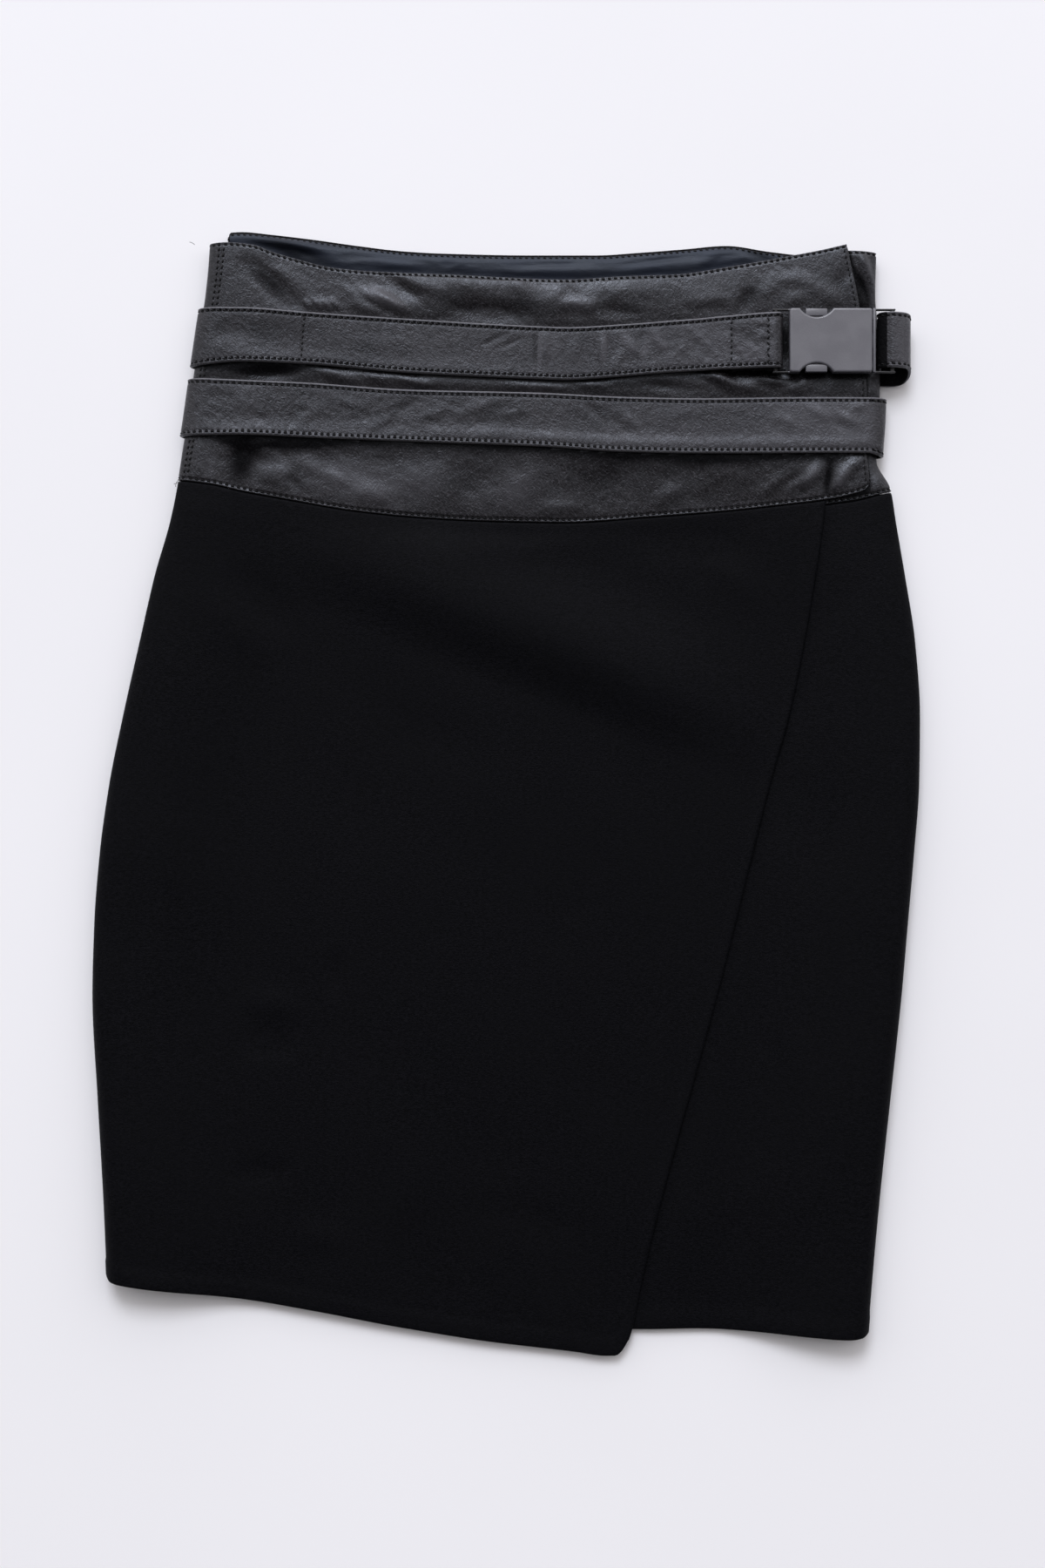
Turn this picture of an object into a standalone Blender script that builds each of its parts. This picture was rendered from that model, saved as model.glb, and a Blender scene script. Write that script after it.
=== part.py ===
"""Wrap skirt laid flat: wool panels, a leather yoke, two leather straps and a side-release buckle.

Metres. +X runs across the skirt, +Y from the hem to the waist, +Z up from the surface it lies on.
Laid flat, the garment is a flattened tube that overlaps itself in front. Going round it, the zones are
"over" (free edge of the wrap to the left fold), "left" (the left fold, top to bottom), "back"
(left to right on the surface), "right" (the right fold, bottom to top) and "under" (right fold to
the free edge that the wrap hides). Each panel is a sheet of points through these zones, given its
wall by a Solidify modifier.
"""
import math

import bpy
import numpy as np

# Thickness of each material, and the clearances between pieces
WOOL = 0.0014
LEATHER = 0.0012
SATIN = 0.0010
STRAP = 0.0022
SEAM_GAP = 0.0005
LAYER_GAP = 0.0005

# Side folds: how far a fold reaches in from the outline, and how far its top takes to fall
FOLD_REACH = 0.009
FOLD_FALL = 0.080

# Straps lie on the yoke: middle of a strap above the middle of the yoke's wall
STRAP_OUT = LEATHER / 2 + LAYER_GAP + STRAP / 2

# Outline of the body of the skirt, and the height of its folds, from hem to waist
SIDES = ("y left right left_top right_top", [
    (-0.3180, -0.2234, 0.2009, 0.0160, 0.0150),
    (-0.2740, -0.2246, 0.2043, 0.0160, 0.0150),
    (-0.2300, -0.2264, 0.2083, 0.0160, 0.0150),
    (-0.1710, -0.2298, 0.2146, 0.0155, 0.0150),
    (-0.1120, -0.2328, 0.2210, 0.0150, 0.0145),
    (-0.0730, -0.2318, 0.2244, 0.0145, 0.0145),
    (-0.0340, -0.2288, 0.2279, 0.0145, 0.0140),
    (0.0055, -0.2234, 0.2308, 0.0140, 0.0140),
    (0.0445, -0.2156, 0.2313, 0.0135, 0.0135),
    (0.0840, -0.2068, 0.2288, 0.0130, 0.0125),
    (0.1230, -0.1980, 0.2230, 0.0120, 0.0115),
    (0.1525, -0.1896, 0.2181, 0.0115, 0.0105),
    (0.1710, -0.1857, 0.2151, 0.0115, 0.0100),
    (0.1870, -0.1832, 0.2072, 0.0115, 0.0095),
    (0.2100, -0.1796, 0.2086, 0.0110, 0.0095),
    (0.2355, -0.1760, 0.2092, 0.0110, 0.0095),
    (0.2600, -0.1725, 0.2082, 0.0110, 0.0095),
    (0.2800, -0.1695, 0.2065, 0.0110, 0.0095),
    (0.2995, -0.1676, 0.2070, 0.0110, 0.0095),
    (0.3200, -0.1665, 0.2075, 0.0105, 0.0090),
])

# Height of the middle of each layer's wall away from the folds. The yoke rests on the back straps.
LAYERS = ("y back under over", [
    (-0.320, 0.0007, 0.0029, 0.0049),
    (0.145, 0.0007, 0.0031, 0.0052),
    (0.162, 0.0012, 0.0044, 0.0063),
    (0.188, 0.0033, 0.0065, 0.0083),
    (0.272, 0.0033, 0.0065, 0.0083),
    (0.320, 0.0019, 0.0051, 0.0069),
])

# Free edges of the wrap: x of the yoke's end, of the wool's slanted edge, and of the hidden edge
WRAP_EDGES = ("y yoke_end wool_edge hidden_edge", [
    (-0.3180, 0.2029, 0.0645, -0.0113),
    (-0.3020, 0.2029, 0.0701, -0.0150),
    (-0.2734, 0.2029, 0.0760, -0.0225),
    (-0.2460, 0.2029, 0.0823, -0.0290),
    (-0.1120, 0.2029, 0.1186, -0.0640),
    (0.0054, 0.2029, 0.1480, -0.0940),
    (0.0466, 0.2029, 0.1593, -0.1040),
    (0.1030, 0.2029, 0.1700, -0.1190),
    (0.1620, 0.2029, 0.1782, -0.1350),
    (0.1725, 0.2029, 0.1790, -0.1380),
    (0.1882, 0.2016, 0.1790, -0.1400),
    (0.2357, 0.2012, 0.1790, -0.1400),
    (0.2550, 0.1994, 0.1790, -0.1400),
    (0.2745, 0.1970, 0.1790, -0.1400),
    (0.2910, 0.1938, 0.1790, -0.1400),
    (0.3080, 0.1901, 0.1790, -0.1400),
])

# Edges that run across the skirt, as y at each x
OVER_WAIST = ("x y", [
    (-0.167, 0.3089), (-0.157, 0.3092), (-0.1435, 0.3080), (-0.132, 0.3040), (-0.118, 0.3000),
    (-0.098, 0.2955), (-0.075, 0.2935), (-0.036, 0.2920), (0.033, 0.2890), (0.065, 0.2908),
    (0.0965, 0.2920), (0.1245, 0.2962), (0.153, 0.3009), (0.1755, 0.3048), (0.190, 0.3080),
])
UNDER_WAIST = ("x y", [
    (-0.139, 0.2990), (0.008, 0.2840), (0.106, 0.2880), (0.170, 0.3020), (0.192, 0.3048),
    (0.208, 0.3040),
])
BACK_WAIST = ("x y", [
    (-0.167, 0.3087), (-0.1582, 0.3090), (-0.1575, 0.3152), (-0.1562, 0.3168), (-0.1500, 0.3171),
    (-0.134, 0.3156), (-0.109, 0.3126), (-0.085, 0.3092), (-0.060, 0.3062), (-0.036, 0.3048),
    (0.013, 0.3038), (0.050, 0.3038), (0.0745, 0.3053), (0.099, 0.3072), (0.1235, 0.3092),
    (0.148, 0.3058), (0.168, 0.3038), (0.208, 0.3038),
])
OVER_SEAM = ("x y", [
    (-0.190, 0.1762), (-0.165, 0.1730), (-0.1495, 0.1695), (-0.1245, 0.1651), (-0.087, 0.1588),
    (-0.056, 0.1556), (-0.017, 0.1534), (0.033, 0.1524), (0.078, 0.1553), (0.123, 0.1588),
    (0.153, 0.1619), (0.1775, 0.1645), (0.199, 0.1692), (0.2015, 0.1712), (0.203, 0.1745),
])
UNDER_SEAM = ("x y", [
    (-0.139, 0.1632), (0.008, 0.1529), (0.106, 0.1563), (0.1915, 0.1637), (0.2156, 0.1695),
])
BACK_SEAM = ("x y", [
    (-0.190, 0.1762), (-0.124, 0.1691), (0.008, 0.1637), (0.155, 0.1661), (0.2156, 0.1695),
])
OVER_HEM = ("x y", [
    (-0.2245, -0.2705), (-0.2222, -0.2734), (-0.2185, -0.2744), (-0.195, -0.2783),
    (-0.158, -0.2832), (-0.109, -0.2915), (-0.060, -0.3009), (-0.011, -0.3087), (0.038, -0.3146),
    (0.055, -0.3168), (0.0605, -0.3168), (0.0640, -0.3145), (0.068, -0.3080),
])
UNDER_HEM = ("x y", [
    (-0.012, -0.2985), (0.0745, -0.3023), (0.106, -0.3018), (0.136, -0.3028), (0.1725, -0.3048),
    (0.190, -0.3056), (0.198, -0.3050), (0.203, -0.3022),
])
BACK_HEM = ("x y", [
    (-0.2245, -0.2705), (-0.2222, -0.2734), (-0.100, -0.2810), (0.080, -0.2950), (0.198, -0.3044),
    (0.203, -0.3022),
])

# The straps' edges over the front, and straight across the back
UPPER_TOP = ("x y", [
    (-0.174, 0.2724), (-0.1495, 0.2724), (-0.115, 0.2702), (-0.056, 0.2663), (0.018, 0.2621),
    (0.033, 0.2616), (0.063, 0.2631), (0.108, 0.2665), (0.143, 0.2684), (0.158, 0.2688),
])
UPPER_BOTTOM = ("x y", [
    (-0.177, 0.2392), (-0.1495, 0.2415), (-0.115, 0.2406), (-0.056, 0.2357), (0.018, 0.2322),
    (0.033, 0.2317), (0.055, 0.2330), (0.093, 0.2361), (0.123, 0.2374), (0.158, 0.2375),
])
LOWER_TOP = ("x y", [
    (-0.179, 0.2329), (-0.1495, 0.2317), (-0.115, 0.2305), (-0.056, 0.2266), (0.018, 0.2248),
    (0.063, 0.2226), (0.108, 0.2217), (0.153, 0.2221), (0.212, 0.2217),
])
LOWER_BOTTOM = ("x y", [
    (-0.183, 0.2002), (-0.1495, 0.2005), (-0.115, 0.1994), (-0.056, 0.1971), (0.018, 0.1943),
    (0.063, 0.1914), (0.108, 0.1905), (0.202, 0.1905), (0.212, 0.1884),
])
UPPER_BACK_TOP = ("x y", [(-0.177, 0.2724), (0.230, 0.2640)])
UPPER_BACK_BOTTOM = ("x y", [(-0.180, 0.2392), (0.230, 0.2296)])
LOWER_BACK_TOP = ("x y", [(-0.183, 0.2329), (0.212, 0.2217)])
LOWER_BACK_BOTTOM = ("x y", [(-0.187, 0.2002), (0.212, 0.1884)])

# Side seam of the yoke, turned onto the front: its distance in from the fold's outline
SIDE_SEAM_IN = ("y inset", [(0.150, 0.0035), (0.235, 0.0048), (0.310, 0.0066)])

# The broad soft ridge that runs down across the over panel from the left below the yoke
RIDGE = ("x y height", [
    (-0.150, 0.1500, 0.0), (-0.102, 0.1377, 0.0030), (-0.028, 0.1083, 0.0058),
    (0.030, 0.0862, 0.0065), (0.082, 0.0642, 0.0048), (0.119, 0.0495, 0.0022), (0.150, 0.0400, 0.0),
])
RIDGE_ABOVE = 0.052
RIDGE_BELOW = 0.030

# Satin facing: set in from the back waist and the folds
FACING_INSET = 0.0015
FACING_DEPTH = 0.055
FACING_LEFT = -0.1568
FACING_RIGHT = 0.194

# Buckle: housing plate, its bar for the strap, and the insert with its frame
PLATE_LEFT = 0.1573
PLATE_RIGHT = 0.2034
PLATE_BOTTOM = 0.2349
PLATE_TOP = 0.2707
PLATE_THICK = 0.0068
PLATE_BEVEL = 0.0012
SOCKET_LEFT = 0.1630
SOCKET_WIDE = 0.0310
SOCKET_HIGH = 0.0036
NOTCH_X = 0.1723
NOTCH_RADIUS = 0.0113
NOTCH_DEPTH = 0.0050
BAR_RADIUS = 0.0012
EAR_WIDE = 0.0010
EAR_HIGH = 0.0026
TONGUE_WIDE = 0.0080
PRONG_WIDE = 0.0034
TAB_LONG = 0.0120
FRAME_LEFT = 0.2038
FRAME_WIDE = 0.0015
FRAME_HIGH = 0.0052
ARM_RIGHT = 0.2167
ARM_WIDE = 0.0010
FIT = 0.0003

# Where the upper strap loops round the two bars, and the end of its turn-back
LOOP_RADIUS = BAR_RADIUS + LAYER_GAP + STRAP / 2
HOUSING_BAR_X = PLATE_LEFT - 0.0035 - BAR_RADIUS - LAYER_GAP - STRAP
TURN_BACK_END = 0.1255
LIFT_START = 0.1055
INSERT_BAR_X = 0.2150
LOOP_OUTER = 0.2262
LOOP_WIDE = 0.0105
LOOP_TOP_SLANT = 0.0046
LOOP_BOTTOM_SLANT = 0.0078
WRAP_LONG = 0.0070
WRAP_HIGH = 0.0055
WRAP_END = 200
BAR_DROP = 0.0006
STRAP_TURN_OUT = 0.0020
STRAP_SLACK = 0.0007

WOOL_COLOUR = (0.016, 0.016, 0.019)
WOOL_ROUGHNESS = 0.92
LEATHER_COLOUR = (0.040, 0.036, 0.036)
LEATHER_ROUGHNESS = 0.42
STRAP_COLOUR = (0.048, 0.044, 0.044)
SATIN_COLOUR = (0.015, 0.019, 0.032)
SATIN_ROUGHNESS = 0.35
BUCKLE_COLOUR = (0.13, 0.13, 0.145)
BUCKLE_ROUGHNESS = 0.45


def smooth_slopes(x, y):
    """Slopes at the rows that keep the curve between them free of overshoot."""
    step = np.diff(x)
    rise = np.diff(y) / step
    slope = np.zeros_like(y)
    same = rise[:-1] * rise[1:] > 0
    total = np.where(same, rise[:-1] + rise[1:], 1.0)
    slope[1:-1] = np.where(same, 2 * rise[:-1] * rise[1:] / total, 0.0)
    slope[0] = rise[0]
    slope[-1] = rise[-1]
    return slope


def read(table, name, where):
    """Value of a named column at each place in `where`, smooth between the table's rows."""
    names = table[0].split()
    rows = np.array(table[1], float)
    x = rows[:, 0]
    y = rows[:, names.index(name)]
    slope = smooth_slopes(x, y)
    place = np.clip(where, x[0], x[-1])
    i = np.clip(np.searchsorted(x, place, side="right") - 1, 0, len(x) - 2)
    span = x[i + 1] - x[i]
    t = (place - x[i]) / span
    start = (1 + 2 * t) * (1 - t) ** 2 * y[i] + t * (1 - t) ** 2 * span * slope[i]
    end = t * t * (3 - 2 * t) * y[i + 1] + t * t * (t - 1) * span * slope[i + 1]
    return start + end


def ease(value, start, end):
    """0 before start, 1 after end, smooth between."""
    t = np.clip((value - start) / (end - start), 0, 1)
    return t * t * (3 - 2 * t)


def fall(distance):
    """1 at the fold's top, easing to 0 at FOLD_FALL from it."""
    return 0.5 + 0.5 * np.cos(np.pi * np.clip(distance / FOLD_FALL, 0, 1))


def fold_left(y):
    """x where the left fold's curve meets the flat layers."""
    return read(SIDES, "left", y) + FOLD_REACH


def fold_right(y):
    """x where the right fold's curve meets the flat layers."""
    return read(SIDES, "right", y) - FOLD_REACH


def ridge_height(x, y):
    """Height of the broad ridge: a squared cosine across its crest, wider above than below."""
    below = read(RIDGE, "y", x) - y
    reach = np.where(below < 0, RIDGE_ABOVE, RIDGE_BELOW)
    across = np.cos(0.5 * np.pi * np.clip(below / reach, -1, 1)) ** 2
    return read(RIDGE, "height", x) * across


def under_height(x, y):
    """Middle of the under layer's wall: flat, rising to the right fold."""
    base = read(LAYERS, "under", y)
    return base + (read(SIDES, "right_top", y) - base) * fall(fold_right(y) - x)


def over_height(x, y):
    """Middle of the over layer's wall: above the under layer, rising to the left fold too."""
    base = read(LAYERS, "over", y)
    above_under = base - read(LAYERS, "under", y)
    left = (read(SIDES, "left_top", y) - base) * fall(x - fold_left(y))
    return under_height(x, y) + above_under + left + ridge_height(x, y)


def fold_points(outline_x, inward, angle, y, top, out):
    """x and z round a side fold, an ellipse from angle -90 at the bottom to +90 degrees at the top."""
    bottom = read(LAYERS, "back", y)
    centre = (top + bottom) / 2
    rise = (top - bottom) / 2 + out
    x = outline_x + inward * (FOLD_REACH - (FOLD_REACH + out) * np.cos(angle))
    return x, centre + rise * np.sin(angle)


def wool_edge(y):
    """x of the over panel's free, slanted edge."""
    return read(WRAP_EDGES, "wool_edge", y)


def yoke_end(y):
    """x of the over yoke's free end."""
    return read(WRAP_EDGES, "yoke_end", y)


def strap_turn(y):
    """x where the lower strap leaves the over yoke and turns down round the right fold."""
    return fold_right(y) + STRAP_TURN_OUT


def zone_points(zone, part, y, out, inner_edge):
    """x and z of the wall's middle at a share `part` of the way through a zone."""
    if zone == "over":
        start = inner_edge(y)
        x = start + (fold_left(y) - start) * part
        return x, over_height(x, y) + out
    if zone == "left":
        angle = np.pi * (0.5 - part)
        top = over_height(fold_left(y), y)
        return fold_points(read(SIDES, "left", y), 1, angle, y, top, out)
    if zone == "back":
        x = fold_left(y) + (fold_right(y) - fold_left(y)) * part
        return x, read(LAYERS, "back", y) - out
    if zone == "right":
        angle = np.pi * (part - 0.5)
        return fold_points(read(SIDES, "right", y), -1, angle, y, read(SIDES, "right_top", y), out)
    if zone == "strap_right":
        angle = np.pi * (part - 0.5)
        top = over_height(strap_turn(y), y) + out
        bottom = read(LAYERS, "back", y) - out
        x = strap_turn(y) + (FOLD_REACH + STRAP_SLACK + out - STRAP_TURN_OUT) * np.cos(angle)
        return x, (top + bottom) / 2 + (top - bottom) / 2 * np.sin(angle)
    x = fold_right(y) + (read(WRAP_EDGES, "hidden_edge", y) - fold_right(y)) * part
    return x, under_height(x, y) + out


def edge_y(edges, zone, x, part):
    """y of an edge: the zone's own curve, or between the two curves that a fold joins."""
    front = {"right": "under", "under": "under", "back": "back"}.get(zone, "front")
    y_front = read(edges[front], "y", x)
    if zone in ("over", "under", "back"):
        return y_front
    bottom_share = part if zone == "left" else 1 - part
    turn = 0.5 - 0.5 * np.cos(np.pi * bottom_share)
    return y_front + (read(edges["back"], "y", x) - y_front) * turn


def sheet_points(spans, top, bottom, rows, out=0.0, inner_edge=wool_edge, trim=(0.0, 0.0)):
    """Grid of points of a panel.

    spans are (zone, first part, last part, cells); a part may be a function of y. Rows run from the
    top edge to the bottom edge, so y and x depend on each other and are settled by repetition.
    """
    t = np.linspace(0, 1, rows + 1)[:, None]
    blocks = []
    for number, (zone, first, last, cells) in enumerate(spans):
        share = np.linspace(0, 1, cells + 1)[None, :]
        if number:
            share = share[:, 1:]
        y = 0.3 - 0.5 * t + 0 * share
        for _ in range(14):
            begin = first(y) if callable(first) else first
            end = last(y) if callable(last) else last
            part = begin + (end - begin) * share
            x, z = zone_points(zone, part, y, out, inner_edge)
            y_top = edge_y(top, zone, x, part) - trim[0]
            y_bottom = edge_y(bottom, zone, x, part) + trim[1]
            y = y_top + (y_bottom - y_top) * t
        blocks.append(np.stack([x, y, z], axis=2))
    return np.concatenate(blocks, axis=1)


def new_material(name, colour, roughness, metallic=0.0):
    """Principled material with the piece's colour and gloss."""
    material = bpy.data.materials.new(name)
    material.use_nodes = True
    shader = material.node_tree.nodes["Principled BSDF"]
    shader.inputs["Base Color"].default_value = (*colour, 1.0)
    shader.inputs["Roughness"].default_value = roughness
    shader.inputs["Metallic"].default_value = metallic
    material.diffuse_color = (*colour, 1.0)
    return material


def add_sheet(name, points, thickness, material, closed=False):
    """Mesh through a grid of points, closed round on itself if asked, with a wall of a thickness."""
    rows, columns = points.shape[:2]
    index = np.arange(rows * columns).reshape(rows, columns)
    if closed:
        index = np.concatenate([index, index[:, :1]], axis=1)
    corners = [index[:-1, :-1], index[1:, :-1], index[1:, 1:], index[:-1, 1:]]
    faces = np.stack(corners, axis=2).reshape(-1, 4)
    mesh = bpy.data.meshes.new(name)
    mesh.from_pydata(points.reshape(-1, 3).tolist(), [], faces.tolist())
    mesh.shade_smooth()
    mesh.materials.append(material)
    sheet = bpy.data.objects.new(name, mesh)
    parts.objects.link(sheet)
    wall = sheet.modifiers.new("Wall", "SOLIDIFY")
    wall.thickness = thickness
    wall.offset = 0.0
    wall.use_even_offset = True
    return sheet


def add_block(name, low, high, bevel=0.0, segments=2):
    """Box between two corners, from a primitive cube, with rounded edges if asked."""
    low = np.array(low)
    high = np.array(high)
    bpy.ops.mesh.primitive_cube_add(size=1.0, location=tuple((low + high) / 2))
    block = bpy.context.object
    block.name = name
    block.scale = tuple(high - low)
    bpy.ops.object.transform_apply(location=False, rotation=False, scale=True)
    if bevel:
        rounding = block.modifiers.new("Rounded edges", "BEVEL")
        rounding.width = bevel
        rounding.segments = segments
    return block


def add_rod(name, centre, radius, length, along_y=True, sides=16):
    """Cylinder of a length, along Y or upright."""
    turn = (math.pi / 2, 0, 0) if along_y else (0, 0, 0)
    bpy.ops.mesh.primitive_cylinder_add(
        vertices=sides, radius=radius, depth=length, location=centre, rotation=turn)
    rod = bpy.context.object
    rod.name = name
    return rod


def move_to(thing, collection):
    """Keep the object in one collection only."""
    for old in list(thing.users_collection):
        old.objects.unlink(thing)
    collection.objects.link(thing)


def combine(base, tool, operation):
    """Boolean of a hidden tool object on the base."""
    move_to(tool, cutters)
    tool.hide_render = True
    tool.display_type = "WIRE"
    step = base.modifiers.new(tool.name, "BOOLEAN")
    step.operation = operation
    step.solver = "EXACT"
    step.object = tool


def half_gap_share(y):
    """Half the gap of a side seam, as a share of the way round a fold at its outermost point."""
    rise = (read(SIDES, "right_top", y) - read(LAYERS, "back", y)) / 2
    return SEAM_GAP / (np.pi * rise)


def seam_before(y):
    """Share round a fold where the piece before the side seam ends."""
    return 0.5 - half_gap_share(y)


def seam_after(y):
    """Share round a fold where the piece after the side seam starts."""
    return 0.5 + half_gap_share(y)


def yoke_seam_share(y):
    """Share of the left fold, from its top, at which the yoke's side seam lies."""
    cosine = 1 - read(SIDE_SEAM_IN, "inset", y) / FOLD_REACH
    return 0.5 - np.arccos(cosine) / np.pi


def after_yoke_seam(y):
    """The same seam, a seam's gap further round the fold."""
    return yoke_seam_share(y) + SEAM_GAP / (np.pi * 0.006)


WAIST = {"front": OVER_WAIST, "under": UNDER_WAIST, "back": BACK_WAIST}
SEAM = {"front": OVER_SEAM, "under": UNDER_SEAM, "back": BACK_SEAM}
HEM = {"front": OVER_HEM, "under": UNDER_HEM, "back": BACK_HEM}
UPPER_STRAP_TOP = {"front": UPPER_TOP, "under": UPPER_TOP, "back": UPPER_BACK_TOP}
UPPER_STRAP_BOTTOM = {"front": UPPER_BOTTOM, "under": UPPER_BOTTOM, "back": UPPER_BACK_BOTTOM}
LOWER_STRAP_TOP = {"front": LOWER_TOP, "under": LOWER_TOP, "back": LOWER_BACK_TOP}
LOWER_STRAP_BOTTOM = {"front": LOWER_BOTTOM, "under": LOWER_BOTTOM, "back": LOWER_BACK_BOTTOM}


def add_panels(wool):
    """The three wool panels, each between the yoke's seam and its hem."""
    half_gap = SEAM_GAP / 2
    over = sheet_points([("over", 0, 1, 22), ("left", 0, seam_before, 5)],
                        SEAM, HEM, 20, trim=(half_gap, 0))
    add_sheet("over_panel", over, WOOL, wool)
    back = sheet_points([("left", seam_after, 1, 5), ("back", 0, 1, 12),
                         ("right", 0, seam_before, 5)], SEAM, HEM, 14, trim=(half_gap, 0))
    add_sheet("back_panel", back, WOOL, wool)
    under = sheet_points([("right", seam_after, 1, 5), ("under", 0, 1, 14)],
                         SEAM, HEM, 16, trim=(half_gap, 0))
    add_sheet("under_panel", under, WOOL, wool)


def add_yoke(leather):
    """The three leather pieces of the yoke, between the waist and the seam to the wool."""
    half_gap = SEAM_GAP / 2
    over = sheet_points([("over", 0, 1, 24), ("left", 0, yoke_seam_share, 3)],
                        WAIST, SEAM, 10, inner_edge=yoke_end, trim=(0, half_gap))
    add_sheet("over_yoke", over, LEATHER, leather)
    back = sheet_points([("left", after_yoke_seam, 1, 12), ("back", 0, 0.004, 1), ("back", 0.004, 0.06, 3),
                         ("back", 0.06, 1, 13), ("right", 0, seam_before, 8)],
                        WAIST, SEAM, 8, trim=(0, half_gap))
    add_sheet("back_yoke", back, LEATHER, leather)
    under = sheet_points([("right", seam_after, 1, 8), ("under", 0, 1, 14)],
                         WAIST, SEAM, 8, trim=(0, half_gap))
    add_sheet("under_yoke", under, LEATHER, leather)


def add_facing(satin):
    """Strip of satin on the inside of the back yoke, just below the waist's edge."""
    x = np.linspace(FACING_LEFT, FACING_RIGHT, 19)[None, :]
    t = np.linspace(0, 1, 4)[:, None]
    y = read(BACK_WAIST, "y", x) - FACING_INSET - FACING_DEPTH * t
    z = read(LAYERS, "back", y) + LEATHER / 2 + LAYER_GAP + SATIN / 2
    points = np.stack([x + 0 * t, y, z], axis=2)
    add_sheet("waist_facing", points, SATIN, satin)


def add_lower_strap(leather):
    """Band that goes all round the yoke, moved out from the yoke's own points."""
    points = sheet_points([("over", 0, 1, 22), ("left", 0, 1, 10), ("back", 0, 1, 12),
                           ("strap_right", 0, 1, 12)], LOWER_STRAP_TOP, LOWER_STRAP_BOTTOM, 3,
                          out=STRAP_OUT, inner_edge=strap_turn)
    add_sheet("lower_strap", points[:, 1:], STRAP, leather, closed=True)


def strap_middle():
    """y of the upper strap's middle, where it meets the buckle."""
    return (PLATE_TOP + PLATE_BOTTOM) / 2


def plate_height():
    """z of the middle of the buckle's plate, which lies on the over yoke."""
    yoke = float(over_height(np.array(PLATE_RIGHT), strap_middle()))
    return yoke + LEATHER / 2 + LAYER_GAP + PLATE_THICK / 2


def bar_height():
    """z of the buckle's two bars."""
    return plate_height() - BAR_DROP


def turned_back_end(x):
    """Middle of the strap's turned-back end: on the yoke at its tip, rising to the bar."""
    on_yoke = over_height(x, strap_middle() + 0 * x) + STRAP_OUT
    at_bar = bar_height() - LOOP_RADIUS
    return on_yoke + (at_bar - on_yoke) * ease(x, TURN_BACK_END - 0.006, HOUSING_BAR_X)


def ruled(x, z, top_y, bottom_y):
    """Grid of points straight across the strap, between two edges, along a path in x and z."""
    t = np.linspace(0, 1, 4)[:, None]
    y = top_y + (bottom_y - top_y) * t
    return np.stack([x + 0 * t, y, z + 0 * t], axis=2)


def housing_end():
    """The strap's doubled end: turned-back end, loop round the housing's bar, and ramp down."""
    arc = np.radians(np.linspace(-90, 90, 7))
    back_x = np.linspace(TURN_BACK_END, HOUSING_BAR_X, 4)[:-1]
    ramp_x = np.linspace(HOUSING_BAR_X, LIFT_START, 8)[1:]
    stack = STRAP + LAYER_GAP
    apart = stack * ease(ramp_x, LIFT_START, TURN_BACK_END - 0.003)
    apart += (2 * LOOP_RADIUS - stack) * ease(ramp_x, TURN_BACK_END - 0.006, HOUSING_BAR_X)
    x = np.concatenate([back_x, HOUSING_BAR_X + LOOP_RADIUS * np.cos(arc), ramp_x])
    z = np.concatenate([turned_back_end(back_x), bar_height() + LOOP_RADIUS * np.sin(arc),
                        turned_back_end(ramp_x) + apart])
    return ruled(x, z, read(UPPER_TOP, "y", x), read(UPPER_BOTTOM, "y", x))


def insert_end():
    """The strap's other end: from the surface out past the fold, up, and loosely over the insert's bar."""
    turn = np.radians(np.linspace(-90, 60, 9))
    wrap = np.radians(np.linspace(90, WRAP_END, 7))
    floor_z = STRAP / 2
    top_z = bar_height() + LOOP_RADIUS
    rise = (top_z - floor_z) / 2
    centre_x = LOOP_OUTER - STRAP / 2 - LOOP_WIDE
    x = np.concatenate([centre_x + LOOP_WIDE * np.cos(turn),
                        INSERT_BAR_X + WRAP_LONG * np.cos(wrap)])
    z = np.concatenate([floor_z + rise + rise * np.sin(turn),
                        top_z - WRAP_HIGH + WRAP_HIGH * np.sin(wrap)])
    lifted = ease(z, floor_z, bar_height())
    return ruled(x, z, read(UPPER_BACK_TOP, "y", x) + LOOP_TOP_SLANT * lifted,
                 read(UPPER_BACK_BOTTOM, "y", x) + LOOP_BOTTOM_SLANT * lifted)


def after_ramp(y):
    """Share of the over zone, from the wool's edge, at which the strap's ramp has reached the yoke."""
    start = wool_edge(y)
    return (start - LIFT_START + 0.004) / (start - fold_left(y))


def add_upper_strap(leather):
    """Strap from the housing's bar, over the front, round the left and back, to the insert's bar."""
    around = sheet_points([("over", after_ramp, 1, 17), ("left", 0, 1, 10), ("back", 0, 0.98, 11)],
                          UPPER_STRAP_TOP, UPPER_STRAP_BOTTOM, 3, out=STRAP_OUT)
    points = np.concatenate([housing_end(), around, insert_end()], axis=1)
    add_sheet("upper_strap", points, STRAP, leather)


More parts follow.
